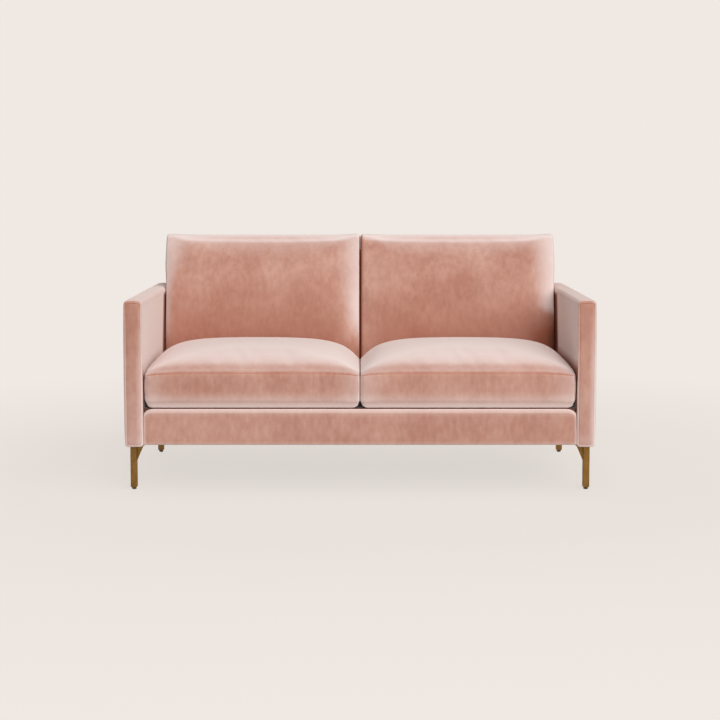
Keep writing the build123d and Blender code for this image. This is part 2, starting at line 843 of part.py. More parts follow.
# Legs: square tubes with a closed, chamfered foot
leg_inner_width = leg_width - 2 * leg_wall
leg_foot_width = leg_width - 2 * leg_chamfer
for end_name, end in ENDS:
    for side_name, side in SIDES:
        foot = Plane((side * leg_x, end * leg_y, glide_height))
        with BuildPart() as leg:
            with BuildSketch(foot):
                RectangleRounded(leg_foot_width, leg_foot_width, leg_corner_radius)
            with BuildSketch(foot.offset(leg_chamfer)):
                RectangleRounded(leg_width, leg_width, leg_corner_radius)
            loft()
            with BuildSketch(foot.offset(leg_chamfer)):
                RectangleRounded(leg_width, leg_width, leg_corner_radius)
            extrude(amount=plate_bottom - glide_height - leg_chamfer)
            with BuildSketch(foot.offset(leg_plug)):
                Rectangle(leg_inner_width, leg_inner_width)
            extrude(amount=plate_bottom - glide_height - leg_plug, mode=Mode.SUBTRACT)
            with BuildSketch(foot):
                Circle(glide_stem_radius + glue_gap)
            extrude(amount=leg_plug, mode=Mode.SUBTRACT)
        save(leg, f"{end_name}_{side_name}_leg")

# Leg gussets on the inner side of each post
with BuildPart() as leg_gussets:
    for _, side in SIDES:
        for _, end in ENDS:
            post_face = side * (leg_x - leg_width / 2)
            tip = side * (leg_x - leg_width / 2 - gusset_width)
            gusset_plane = Plane.XZ.offset(-end * leg_y - gusset_thickness / 2)
            with BuildSketch(gusset_plane):
                with BuildLine():
                    Polyline(
                        (post_face, plate_bottom),
                        (tip, plate_bottom),
                        (post_face, plate_bottom - gusset_height),
                        close=True,
                    )
                make_face()
            extrude(amount=gusset_thickness)
save(leg_gussets, "leg_gussets")

with BuildPart() as leg_plates:
    plate_places = []
    for _, side in SIDES:
        for _, end in ENDS:
            plate_places.append((side * arm_centre, end * plate_y, plate_bottom))
    with Locations(*plate_places):
        Box(plate_width, plate_length, plate_thickness, align=(Align.CENTER, Align.CENTER, Align.MIN))
    bore(leg_screw_seats, screw_bore, screw_reach)
save(leg_plates, "leg_plates")

with BuildPart() as leg_screws:
    with BuildSketch(*leg_screw_seats):
        Circle(screw_head_radius)
    extrude(amount=-screw_head_height)
    with BuildSketch(*leg_screw_seats):
        Circle(screw_radius)
    extrude(amount=screw_length)
save(leg_screws, "leg_screws")

with BuildPart() as leg_glides:
    glide_places = [(side * leg_x, end * leg_y, 0) for _, side in SIDES for _, end in ENDS]
    upward = (Align.CENTER, Align.CENTER, Align.MIN)
    with Locations(*glide_places):
        Cylinder(glide_radius, glide_height, align=upward)
    chamfer(leg_glides.edges().group_by(Axis.Z)[0], length=glide_edge)
    with Locations(*glide_places):
        Cylinder(glide_stem_radius, glide_height + leg_plug, align=upward)
save(leg_glides, "leg_glides")
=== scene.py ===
"""Looks of a two-seat velvet loveseat, laid over its CAD frame.

Metres, +Z up, in the frame of the CAD model: the sofa stands on the floor at z = 0 and faces -Y.
Left and right are as seen from the front, so the left arm is on -X.
"""

import json
import math

import bpy
import numpy as np
from bpy.props import FloatProperty, FloatVectorProperty, PointerProperty
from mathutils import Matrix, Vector


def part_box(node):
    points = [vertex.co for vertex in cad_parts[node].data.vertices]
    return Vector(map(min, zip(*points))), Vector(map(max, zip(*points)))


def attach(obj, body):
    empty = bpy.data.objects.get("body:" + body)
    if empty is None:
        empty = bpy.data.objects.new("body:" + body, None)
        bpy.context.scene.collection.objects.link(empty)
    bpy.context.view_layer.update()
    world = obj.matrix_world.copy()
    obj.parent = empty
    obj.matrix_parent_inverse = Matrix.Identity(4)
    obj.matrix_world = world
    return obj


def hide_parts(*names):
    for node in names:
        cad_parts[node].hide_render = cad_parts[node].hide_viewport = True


bl_info = {
    "name": "Velvet loveseat",
    "version": (1, 0, 0),
    "blender": (4, 5, 0),
    "location": "View3D > Sidebar > Loveseat",
    "description": "Covers, cushions, zips, legs and studio of a two-seat velvet loveseat",
    "category": "Object",
}

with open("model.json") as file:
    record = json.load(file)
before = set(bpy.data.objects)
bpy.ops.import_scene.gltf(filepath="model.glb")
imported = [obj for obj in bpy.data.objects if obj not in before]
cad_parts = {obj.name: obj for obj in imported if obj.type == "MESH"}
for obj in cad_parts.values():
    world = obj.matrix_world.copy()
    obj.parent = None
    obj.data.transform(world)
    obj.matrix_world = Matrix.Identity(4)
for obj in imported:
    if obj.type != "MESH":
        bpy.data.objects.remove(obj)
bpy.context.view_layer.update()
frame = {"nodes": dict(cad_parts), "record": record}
SIDES = (("left", -1), ("right", 1))

# Planes of the CAD frame that the covers are fitted to
DECK_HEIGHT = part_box("deck_cloth")[1].z
INSIDE_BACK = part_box("back_cover")[0].y

# Grids: places closer than the weld are one, and a cube's points past ON_SIDE lie on its sides
WELD = 1e-6
TINY = 1e-9
ON_SIDE = 1 - TINY
EDGE_PLACES = 5
SEAM_PLACES = 9

# Cushions: finest and coarsest step of a cover's and a core's grid, and a core's distance from its cover
COVER_STEPS = (0.0015, 0.013)
CORE_STEPS = (0.01, 0.03)
CORE_INSET = 0.014
LIP_POWER = 3.0
SETTLING_FRAMES = 20

# Outward directions between which a cushion's boxing counts as turned to its side
SIDE_TURN = (0.88, 0.97)

# Wavelength and seed of each cover's unevenness
ARM_RIPPLES = (0.12, 11)
RAIL_RIPPLES = (0.1, 12)
BACK_RIPPLES = (0.15, 13)
DECK_RIPPLES = (0.11, 14)

# Material of each slot, by name, filled in by the finishes operator
FINISH_NAMES = {}


def length(name, description, default):
    """A length of the sofa that a user may change."""
    return FloatProperty(name=name, description=description, default=default, unit="LENGTH", precision=4)


def amount(name, description, default):
    """A strength, share or power that a user may change."""
    return FloatProperty(name=name, description=description, default=default)


def colour(name, description, default):
    """A linear colour of a finish."""
    return FloatVectorProperty(
        name=name, description=description, default=default, subtype="COLOR", size=3, min=0, max=1
    )


class LoveseatCovers(bpy.types.PropertyGroup):
    """Sizes of the fitted covers on the arms, front rail and back."""

    arm_edge: length("Arm edge", "Radius of the arms' long edges", 0.010)
    arm_end: length("Arm end", "Depth of the round rim of the arms' end panels", 0.004)
    arm_swell: length("Arm swell", "How far the padding swells the arms' outer faces", 0.0040)
    arm_crown: length("Arm crown", "How far the padding swells the arms' tops", 0.0047)
    rail_roll: length("Rail roll", "Radius of the front rail's rolled edges", 0.015)
    rail_corner: length("Rail corner", "Height of the front rail's round top corners", 0.022)
    rail_corner_width: length("Rail corner width", "Width of the front rail's round top corners", 0.034)
    rail_foot: length("Rail foot", "Radius of the front rail's lower edges", 0.003)
    rail_drop: length("Rail drop", "How far the padded front of the rail hangs below the dust cover", 0.0012)
    rail_band: length("Rail band", "Height of the pale band along the top of the rail", 0.015)
    # Strengths from here on paint light and shade into the covers' colour: above 0 painted highlight, below 0
    # painted shade, down to -2 painted crevice shadow
    rail_highlight: amount("Rail nap", "How pale the rail's rolled top is brushed", 0.44)
    rail_foot_highlight: amount("Rail foot nap", "How pale the rail's foot is", 0.28)
    rail_end_highlight: amount("Rail end nap", "How pale the rail's end edges are", 0.4)
    rail_shadow: amount("Rail touch nap", "How dark the rail is under the seat", -1.8)
    front_top_shade: amount("Front top nap", "How dark the arms' fronts are above", -0.2)
    front_foot_light: amount("Front foot nap", "How pale the arms' fronts are below", 0.12)
    front_side_highlight: amount("Front side nap", "How pale the fronts' right edges are", 0.45)
    rim_highlight: amount("Rim nap", "How pale the rims of the arms' end panels are", 0.35)
    seam_shade: amount("Seam nap", "How dark the seams are", -0.3)
    top_shading: amount("Top nap", "How far the arms' tops are brushed dark", -0.08)
    seat_shadow: amount("Seat touch nap", "How dark the arms are by the seat", -0.25)
    back_shadow: amount("Back touch nap", "How dark the arms are by the back", -1.6)
    shade: amount("Shade", "How much darker the right arm is by the seat", 5.0)
    # Width of the painted contact shadow beside the cushions
    shadow_reach: length("Touch reach", "How far the dark pile beside the cushions reaches", 0.045)
    back_edge: length("Back edge", "Radius of the back's edges", 0.012)
    panel_inset: length("Panel inset", "Seam of an arm's end panel from the arm's edges", 0.0065)
    panel_corner: length("Panel corner", "Radius of the end panel's corners", 0.006)
    back_panel_inset: length("Back panel inset", "Seam of the outside back from its edges", 0.018)
    back_foam_inset: length("Back foam inset", "Foam of the back inside its cover", 0.003)
    seam_depth: length("Seam depth", "Depth of a sewn seam", 0.0015)
    seam_width: length("Seam width", "Half width of a sewn seam", 0.0016)
    ripple: length("Ripple", "Unevenness of the padding under a fitted cover", 0.0003)
    pitch: length("Pitch", "Size of the grid cells of a cover", 0.016)


class LoveseatSeat(bpy.types.PropertyGroup):
    """Sizes of the two seat cushions."""

    low_seam: length("Low seam", "Height of the lower seam above the deck", 0.022)
    top_seam: length("Top seam", "Height of the upper seam at the front above the deck", 0.1175)
    reach: length("Reach", "How far the sides swell past the cushion's solid", 0.004)
    gap: length("Gap", "Half of the gap between the two cushions", 0.0011)
    near_corner: length("Near corner", "Radius of the front corners in plan", 0.015)
    far_corner: length("Far corner", "Radius of the rear corners in plan", 0.060)
    crown: length("Crown", "Height of the crown above the upper seam, before the cover settles", 0.082)
    side_rise: length("Side rise", "How far the upper seam rises along the sides", 0.006)
    far_drop: length("Far drop", "How far the rear of the upper seam lies below its front", 0.030)
    power_across: amount("Power across", "Flatness of the crown across", 4.4)
    ease_across: amount("Ease across", "Softness of the crown's sides", 0.7)
    power_along: amount("Power along", "Flatness of the crown along", 2.4)
    ease_along: amount("Ease along", "Softness of the crown's ends", 0.7)
    roll: length("Roll", "Height of the rolled edge of the panel", 0.0)
    roll_side: amount("Roll side", "Share of the roll that the side edges have", 0.0)
    roll_across: length("Roll across", "Width of the rolled edge at the sides", 0.010)
    roll_along: length("Roll along", "Width of the rolled edge at the ends", 0.010)
    foot_pull: length("Foot pull", "How far the lower corners are drawn in, seen from the front", 0.018)
    foot_height: length("Foot height", "Height of the drawn-in lower corners", 0.034)
    corner_drop: length("Corner drop", "How far the corners of the upper seam droop", 0.009)
    bulge: length("Bulge", "How far the boxing swells between its seams", 0.0015)
    outer_bulge: length("Outer bulge", "How far the boxing beside the arm swells", 0.0015)
    seam_depth: length("Seam depth", "Depth of the sewn seams", 0.0011)
    seam_width: length("Seam width", "Half width of the sewn seams", 0.0016)
    cell: length("Cell", "Size of the simulated cells", 0.012)
    pressure: amount("Pressure", "Pressure of the filling", 4.0)
    spare: amount("Spare cloth", "Share by which the cover is too large", 0.006)
    cap: length("Cap", "How far a point may move while the cover settles", 0.024)
    # Strengths from here on paint light and shade into the cushions' colour: above 0 painted highlight, below
    # 0 painted shade, down to -2 painted crevice shadow
    end_highlight: amount("End nap", "How pale the ends of the front boxing are", 0.26)
    roll_shade: amount("Roll nap", "How dark the front of the panel is", -0.13)
    crown_highlight: amount("Crown nap", "How pale the rise of the panel is", 0.16)
    low_highlight: amount("Low nap", "How pale the boxing is above its lower seam", 0.34)
    under_shadow: amount("Under nap", "How dark the lip is over the rail", -1.7)
    lip_highlight: amount("Lip nap", "How pale the lip's pile is brushed", 0.75)
    side_shading: amount("Side nap", "How dark the pressed sides are", -1.7)
    seam_shade: amount("Seam nap", "How dark the seams are", -0.35)


class LoveseatBack(bpy.types.PropertyGroup):
    """Sizes of the two back cushions."""

    rake: FloatProperty(
        name="Rake", description="Lean of the back", default=math.radians(12), subtype="ANGLE"
    )
    height: length("Height", "Height along the lean", 0.5485)
    foot: length("Foot", "How far the foot of the cushion reaches below the deck's line", 0.002)
    low_seam: length("Rear seam", "Rear seam in front of the inside back", 0.014)
    top_seam: length("Front seam", "Front seam in front of the inside back, at the corners", 0.102)
    reach: length("Reach", "How far the sides swell past the cushion's solid", 0.0015)
    near_corner: length("Near corner", "Radius of the lower corners of the front panel", 0.012)
    far_corner: length("Far corner", "Radius of the upper corners of the front panel", 0.017)
    crown: length("Crown", "Swell of the front panel, before the cover settles", 0.030)
    side_rise: length("Side rise", "How far the front seam comes forward along the sides", 0.043)
    far_drop: length("Far drop", "How far the top of the front seam lies behind its foot", 0.0)
    power_across: amount("Power across", "Flatness of the crown across", 2.4)
    ease_across: amount("Ease across", "Softness of the crown's sides", 0.9)
    power_along: amount("Power along", "Flatness of the crown along", 2.4)
    ease_along: amount("Ease along", "Softness of the crown's ends", 0.9)
    roll: length("Roll", "Depth of the rolled edge of the front panel", 0.018)
    roll_side: amount("Roll side", "Share of the roll that the side edges have", 0.6)
    roll_across: length("Roll across", "Width of the rolled edge at the sides", 0.040)
    roll_along: length("Roll along", "Width of the rolled edge at the top and foot", 0.022)
    foot_pull: length("Foot pull", "How far the rear corners are drawn in", 0.0)
    foot_height: length("Foot height", "Depth of the drawn-in rear corners", 0.010)
    sag: length("Sag", "How far the middle of the top lies below its corners", 0.0055)
    shoulder: length("Shoulder", "How far the outer side swells above the arm", 0.004)
    corner_drop: length("Corner drop", "How far the corners of the front seam lie back", 0.0)
    bulge: length("Bulge", "How far the boxing swells between its seams", 0.0012)
    outer_bulge: length("Outer bulge", "How far the boxing beside the arm swells", 0.0015)
    seam_depth: length("Seam depth", "Depth of the sewn seams", 0.002)
    seam_width: length("Seam width", "Half width of the sewn seams", 0.002)
    cell: length("Cell", "Size of the simulated cells", 0.012)
    pressure: amount("Pressure", "Pressure of the filling", 4.0)
    spare: amount("Spare cloth", "Share by which the cover is too large", 0.006)
    cap: length("Cap", "How far a point may move while the cover settles", 0.024)
    # Strengths from here on paint light and shade into the cushions' colour: above 0 painted highlight, below
    # 0 painted shade, down to -2 painted crevice shadow
    top_shading: amount("Top nap", "How pale the rolled top is brushed", 0.55)
    edge_highlight: amount("Edge nap", "How pale the left cushion's shoulders are", 0.58)
    outer_highlight: amount("Light nap", "How pale the right cushion's outer shoulder is", 0.8)
    inner_shoulder_shade: amount("Shade nap", "How pale the right cushion's inner shoulder is", 0.0)
    waist_highlight: amount("Waist nap", "How much paler the shoulders are halfway down", 0.35)
    gap_edge_shade: amount("Gap nap", "How dark the right cushion's inner edge is", -1.4)
    corner_shadow: amount("Corner nap", "How dark the right cushion's low corner is", -0.5)
    upper_highlight: amount("Upper nap", "How pale the upper panel is", 0.02)
    foot_shading: amount("Foot nap", "How dark the foot of the panel is", -0.62)
    side_shading: amount("Side nap", "How dark the pressed sides are", -1.7)
    seam_shade: amount("Seam nap", "How dark the seams are", 0.0)


class LoveseatSheets(bpy.types.PropertyGroup):
    """Sizes of the deck cloth, the dust cover and the zips."""

    deck_hem: length("Deck hem", "Length of the deck cloth's turned-down front", 0.020)
    deck_bend: length("Deck bend", "Radius of the turn", 0.004)
    deck_thickness: length("Deck thickness", "Thickness of the deck cloth", 0.0012)
    deck_ripple: length("Deck ripple", "Unevenness of the deck cloth", 0.0004)
    dust_sag: length("Dust cover sag", "How far the dust cover hangs between the rails", 0.002)
    staple_width: length("Staple width", "Width of a staple's crown", 0.011)
    staple_wire: length("Staple wire", "Thickness of a staple's wire", 0.0007)
    staple_inset: length("Staple inset", "Staples from the edge of the dust cover", 0.009)
    staple_step: length("Staple step", "Distance between staples", 0.06)
    tape_width: length("Tape width", "Width of the zip tape", 0.028)
    tape_thickness: length("Tape thickness", "Thickness of the zip tape", 0.0008)
    tooth: length("Tooth", "Length of a zip tooth", 0.0036)
    tooth_step: length("Tooth step", "Distance between zip teeth", 0.0018)


class LoveseatFinish(bpy.types.PropertyGroup):
    """Colours of the finishes."""

    velvet: colour("Velvet", "Pile seen face on", (0.45, 0.215, 0.16))
    velvet_light: colour("Brushed velvet", "Pile brushed the other way", (0.58, 0.33, 0.26))
    # Colour of the painted shade, mixed in where the point attribute is below 0
    velvet_shade: colour("Dark velvet", "Pile brushed away from the light or pressed", (0.34, 0.118, 0.072))
    # Colour of the painted crevice shadow in gaps and corners, mixed in below -1
    velvet_crevice_shadow: colour("Deep velvet", "Pile crushed where two pieces press together", (0.10, 0.026, 0.014))
    # Sheen colour at a slant, and the colour of the painted highlights where the point attribute is above 0
    velvet_slant_and_highlight: colour("Slanted velvet", "Pile seen at a slant", (0.80, 0.67, 0.635))
    velvet_sheen: colour("Velvet sheen", "Tips of the pile seen at a slant", (1.0, 0.86, 0.80))
    # Dark cloth, darkened further so that its hem beside the rail's round corners stands in for the shade
    # there
    deck: colour("Deck cloth", "Plain dark cloth under the cushions", (0.16, 0.075, 0.055))
    brass: colour("Leg brass", "Aged brass of the legs", (0.24, 0.128, 0.036))


class LoveseatStage(bpy.types.PropertyGroup):
    """Camera, lamps and background."""

    camera: FloatVectorProperty(
        name="Camera", description="Place of the camera", default=(0.0, -5.530, 1.052), subtype="TRANSLATION"
    )
    pitch: FloatProperty(
        name="Pitch", description="How far the camera looks down", default=math.radians(4.69), subtype="ANGLE"
    )
    lens: amount("Lens", "Focal length of the camera, in mm", 77.5)
    shift: amount("Shift", "Vertical shift of the picture", -0.078)
    key: amount("Key", "Strength of the soft sun from the right", 1.5)
    front: FloatProperty(name="Front", description="Lamp by the camera", default=148.0, subtype="POWER")
    top: FloatProperty(name="Top", description="Lamp overhead", default=10.0, subtype="POWER")
    rear: FloatProperty(name="Rear", description="Weak lamp behind the sofa", default=60.0, subtype="POWER")
    ambient: amount("Ambient", "Light from all sides", 0.25)
    ambient_tint: colour("Ambient tint", "Warmth of the light from all sides", (1.0, 0.94, 0.89))
    background: colour("Background", "Wall and floor", (0.871, 0.815, 0.768))
    floor_size: length("Floor", "Radius of the floor", 6.0)
    fade: length("Fade", "Radius at which the floor starts to fade into the background", 1.2)
    clearness: FloatProperty(
        name="Clearness", description="Share of the background that shows through the floor", default=0.79,
        subtype="FACTOR",
    )
    floor: colour("Floor", "Pale floor under the sofa", (0.70, 0.655, 0.615))


# Grids and surfaces


def box_corners(node):
    """Low and high corner of a CAD node's box, as arrays."""
    return [np.array(corner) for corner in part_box(node)]


def block_places(low, high, radius, pitch, seams=(), seam_width=0.002):
    """Places along one side of a block with round edges.

    Round each edge they are radius * (1 - tan(turn)) from it, in steps of equal turn up to 45 degrees.
    Between the edges they are even, and each seam gets a close set of its own.
    """
    turns = np.linspace(math.pi / 4, 0, EDGE_PLACES)
    edge = radius * (1 - np.tan(turns))
    flat = np.linspace(low + radius, high - radius, max(3, math.ceil((high - low) / pitch)))
    parts = [low + edge, flat, high - edge]
    for seam in seams:
        parts.append(seam + seam_width * np.linspace(-2, 2, SEAM_PLACES))
    places = np.sort(np.concatenate(parts))
    keep = np.concatenate([[True], np.diff(places) > seam_width / 5])
    keep[-1] = True
    return places[keep]


def eased_places(finest, pitch, growth=1.35):
    """Places from -1 to 1 whose steps grow from the finest at both ends to the pitch in the middle.

    Steps are shares of the half length.
    """
    steps = []
    step = finest
    while sum(steps) < 1:
        steps.append(step)
        step = min(step * growth, pitch)
    run = np.concatenate([[0], np.cumsum(steps)]) / sum(steps)
    return np.concatenate([run - 1, 1 - run[-2::-1]])


def shell(xs, ys, zs):
    """Outside of a block as one closed grid.

    On each of the six sides every place of one axis meets every place of another, and the sides are
    welded along their edges. Returns the points, the outward quads and the point numbers of each side.
    """
    places = (xs, ys, zs)
    points, quads, sides = [], [], []
    start = 0
    for axis in range(3):
        across, along = (axis + 1) % 3, (axis + 2) % 3
        for end in (0, -1):
            grid = np.empty((len(places[across]), len(places[along]), 3))
            grid[..., across] = places[across][:, None]
            grid[..., along] = places[along][None, :]
            grid[..., axis] = places[axis][end]
            numbers = start + np.arange(grid.shape[0] * grid.shape[1]).reshape(grid.shape[:2])
            corners = [numbers[:-1, :-1], numbers[1:, :-1], numbers[1:, 1:], numbers[:-1, 1:]]
            if end == 0:
                corners.reverse()
            quads.append(np.stack([corner.ravel() for corner in corners], axis=1))
            points.append(grid.reshape(-1, 3))
            sides.append(numbers)
            start += numbers.size
    points = np.concatenate(points)
    keys = np.round(points / WELD).astype(np.int64)
    _, first, number = np.unique(keys, axis=0, return_index=True, return_inverse=True)
    number = number.ravel()
    return points[first], number[np.concatenate(quads)], [number[side] for side in sides]


def round_block(points, low, high, radius):
    """Points of a block moved onto its round edges: each lies one radius out from the nearest point
    of the block drawn in by that radius. The radius is one number, or a column with one for each point."""
    inner = np.clip(points, np.add(low, radius), np.subtract(high, radius))
    out = points - inner
    reach = np.abs(out).max(axis=1, keepdims=True)
    return inner + out * (reach / np.linalg.norm(out, axis=1, keepdims=True))


def ease(values, low, high):
    """Smooth step from 0 at the low value to 1 at the high one."""
    share = np.clip((values - low) / (high - low), 0, 1)
    return share * share * (3 - 2 * share)


def panel_distance(u, v, half_u, half_v, corner):
    """Distance from the outline of a panel: a rectangle with round corners about the origin."""
    past_u = np.abs(u) - (half_u - corner)
    past_v = np.abs(v) - (half_v - corner)
    outside = np.hypot(np.maximum(past_u, 0), np.maximum(past_v, 0))
    return np.abs(outside + np.minimum(np.maximum(past_u, past_v), 0) - corner)


def ripples(points, wavelength, seed):
    """Smooth unevenness from -1 to 1: the mean of seven sine waves in directions of their own."""
    count = 7
    draw = np.random.default_rng(seed)
    waves = draw.normal(size=(count, 3))
    pace = (2 * math.pi / wavelength) * draw.uniform(0.6, 1.6, (count, 1))
    waves *= pace / np.linalg.norm(waves, axis=1, keepdims=True)
    return np.sin(points @ waves.T + draw.uniform(0, 2 * math.pi, count)).mean(axis=1)


def groove(distance, depth, width):
    """Cross-section of a sewn seam: a bell of the given depth and half width, inwards."""
    return -depth * np.exp(-((distance / width) ** 2))


def new_piece(name, slot, body, points, quads, *replaced):
    """Mesh object of the given points and quads, in a slot's finish. It rides on a body and stands for
    the replaced CAD nodes."""
    mesh = bpy.data.meshes.new(name)
    mesh.from_pydata(points, [], quads)
    mesh.polygons.foreach_set("use_smooth", np.ones(len(quads), dtype=bool))
    mesh.update()
    mesh.materials.append(bpy.data.materials[FINISH_NAMES[slot]])
    piece = bpy.data.objects.new(name, mesh)
    bpy.context.scene.collection.objects.link(piece)
    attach(piece, body)
    if replaced:
        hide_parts(*replaced)
    return piece


def rows_of_blocks(rows):
    """Small blocks of one size at each of a list of places, for several lists, as one mesh."""
    points, quads, start = [], [], 0
    for places, size in rows:
        corners, faces, _ = shell(*(np.array([-s / 2, s / 2]) for s in size))
        for place in places:
            points.append(corners + place)
            quads.append(faces + start)
            start += len(corners)
    return np.concatenate(points), np.concatenate(quads)


def point_array(mesh, name="co"):
    """Places, or normals, of a mesh's points."""
    values = np.empty(len(mesh.vertices) * 3, dtype=np.float32)
    mesh.vertices.foreach_get(name, values)
    return values.reshape(-1, 3).astype(float)


def push(piece, distance):
    """Moves each point of a piece along its normal by its own distance."""
    mesh = piece.data
    moved = point_array(mesh) + point_array(mesh, "normal") * distance[:, None]
    mesh.vertices.foreach_set("co", moved.ravel())
    mesh.update()


def settle(points, quads, pinned, pressure, spare, cap):
    """How far each point of a closed cover moves when it settles over its filling.

    A cloth simulation of a copy: pressure from inside and no gravity, a share of spare cloth, and the
    pinned points held where they are sewn or rest. No point moves further than the cap.
    """
    scene = bpy.context.scene
    mesh = bpy.data.meshes.new("settling_cover")
    mesh.from_pydata(points, [], quads)
    cover = bpy.data.objects.new("settling_cover", mesh)
    scene.collection.objects.link(cover)
    cover.vertex_groups.new(name="pinned").add(np.flatnonzero(pinned).tolist(), 1.0, "REPLACE")
    cloth = cover.modifiers.new("cloth", "CLOTH")
    cloth.point_cache.frame_start, cloth.point_cache.frame_end = 1, SETTLING_FRAMES
    cloth.collision_settings.use_collision = False
    settings = cloth.settings
    settings.quality = 6
    settings.mass = 0.3
    settings.air_damping = 3
    settings.tension_stiffness = settings.compression_stiffness = 25
    settings.shear_stiffness = 10
    settings.bending_stiffness = 0.5
    settings.use_pressure = True
    settings.uniform_pressure_force = pressure
    settings.effector_weights.gravity = 0
    settings.vertex_group_mass = "pinned"
    settings.shrink_min = -spare
    for step in range(1, SETTLING_FRAMES + 1):
        scene.frame_set(step)
    settled = cover.evaluated_get(bpy.context.evaluated_depsgraph_get())
    moved = point_array(settled.data) - points
    bpy.data.objects.remove(cover)
    bpy.data.meshes.remove(mesh)
    scene.frame_set(1)
    far = np.linalg.norm(moved, axis=1, keepdims=True)
    return moved * np.minimum(1, cap / np.maximum(far, TINY))


def carried(moved, coarse, coarse_sides, fine, fine_sides):
    """Moves of a coarse cube grid, carried side by side to the points of a finer one by a blend of
    the four nearest."""
    result = np.zeros((len(fine), 3))
    for axis in range(3):
        across, along = (axis + 1) % 3, (axis + 2) % 3
        for end in (0, 1):
            old, new = coarse_sides[2 * axis + end], fine_sides[2 * axis + end]
            first = blend_weights(coarse[old[:, 0], across], fine[new[:, 0], across])
            second = blend_weights(coarse[old[0], along], fine[new[0], along])
            result[new] = np.einsum("ik,klc,jl->ijc", first, moved[old], second)
    return result


def blend_weights(old, new):
    """Share that each old place has in each new one, by straight lines between old places."""
    weights = np.zeros((len(new), len(old)))
    after = np.clip(np.searchsorted(old, new), 1, len(old) - 1)
    share = (new - old[after - 1]) / (old[after] - old[after - 1])
    rows = np.arange(len(new))
    weights[rows, after - 1] = 1 - share
    weights[rows, after] = share
    return weights


def set_attribute(piece, name, values):
    """Gives each point of a piece a number that its material can read."""
    attribute = piece.data.attributes.new(name, "FLOAT", "POINT")
    attribute.data.foreach_set("value", values.astype(np.float32))


# Materials


class Nodes:
    """Node tree of one material, with its shader and the Object coordinates."""

    def __init__(self, name):
        """Material of a name, with the default shader."""
        self.material = bpy.data.materials.new(name)
        self.material.use_nodes = True
        self.tree = self.material.node_tree
        self.shader = self.tree.nodes["Principled BSDF"]
        self.place = self.add("ShaderNodeTexCoord").outputs["Object"]

    def add(self, kind, **settings):
        """New node of a kind, with its settings."""
        node = self.tree.nodes.new(kind)
        for key, value in settings.items():
            setattr(node, key, value)
        return node

    def link(self, source, target):
        """Joins an output to an input."""
        self.tree.links.new(source, target)

    def set(self, **sockets):
        """Constants on the shader's own sockets; underscores stand for spaces."""
        for key, value in sockets.items():
            self.shader.inputs[key.replace("_", " ")].default_value = value

    def noise(self, scale, detail=2.0, roughness=0.5, stretch=(1, 1, 1)):
        """Noise over the object, with so many waves to the metre, times the stretch on each axis."""
        mapping = self.add("ShaderNodeMapping")
        mapping.inputs["Scale"].default_value = stretch
        self.link(self.place, mapping.inputs["Vector"])
        node = self.add("ShaderNodeTexNoise")
        node.inputs["Scale"].default_value = scale
        node.inputs["Detail"].default_value = detail
        node.inputs["Roughness"].default_value = roughness
        self.link(mapping.outputs["Vector"], node.inputs["Vector"])
        return node.outputs["Fac"]

    def spread(self, value, low, high, to_low=0.0, to_high=1.0):
        """Value stretched from one range to another, kept within it."""
        node = self.add("ShaderNodeMapRange")
        node.inputs["From Min"].default_value = low
        node.inputs["From Max"].default_value = high
        node.inputs["To Min"].default_value = to_low
        node.inputs["To Max"].default_value = to_high
        self.link(value, node.inputs["Value"])
        return node.outputs["Result"]

    def math(self, operation, first, second):
        """Result of an operation on two values, each a number or an output."""
        node = self.add("ShaderNodeMath", operation=operation)
        for socket, value in zip(node.inputs, (first, second)):
            if isinstance(value, (int, float)):
                socket.default_value = value
            else:
                self.link(value, socket)
        return node.outputs["Value"]

    def mix(self, share, first, second):
        """Blend of two colours, each a constant or an output."""
        node = self.add("ShaderNodeMix", data_type="RGBA")
        self.link(share, node.inputs["Factor"])
        for name, value in (("A_Color", first), ("B_Color", second)):
            socket = next(item for item in node.inputs if item.identifier == name)
            if isinstance(value, bpy.types.NodeSocket):
                self.link(value, socket)
            else:
                socket.default_value = (*value, 1)
        return next(item for item in node.outputs if item.identifier == "Result_Color")

    def base(self, output):
        """Gives the shader its colour."""
        self.link(output, self.shader.inputs["Base Color"])

    def roughness(self, output):
        """Gives the shader its roughness."""
        self.link(output, self.shader.inputs["Roughness"])

    def bump(self, height, strength, distance):
        """Gives the shader a fine relief of a height output."""
        node = self.add("ShaderNodeBump")
        node.inputs["Strength"].default_value = strength
        node.inputs["Distance"].default_value = distance
        self.link(height, node.inputs["Height"])
        self.link(node.outputs["Normal"], self.shader.inputs["Normal"])


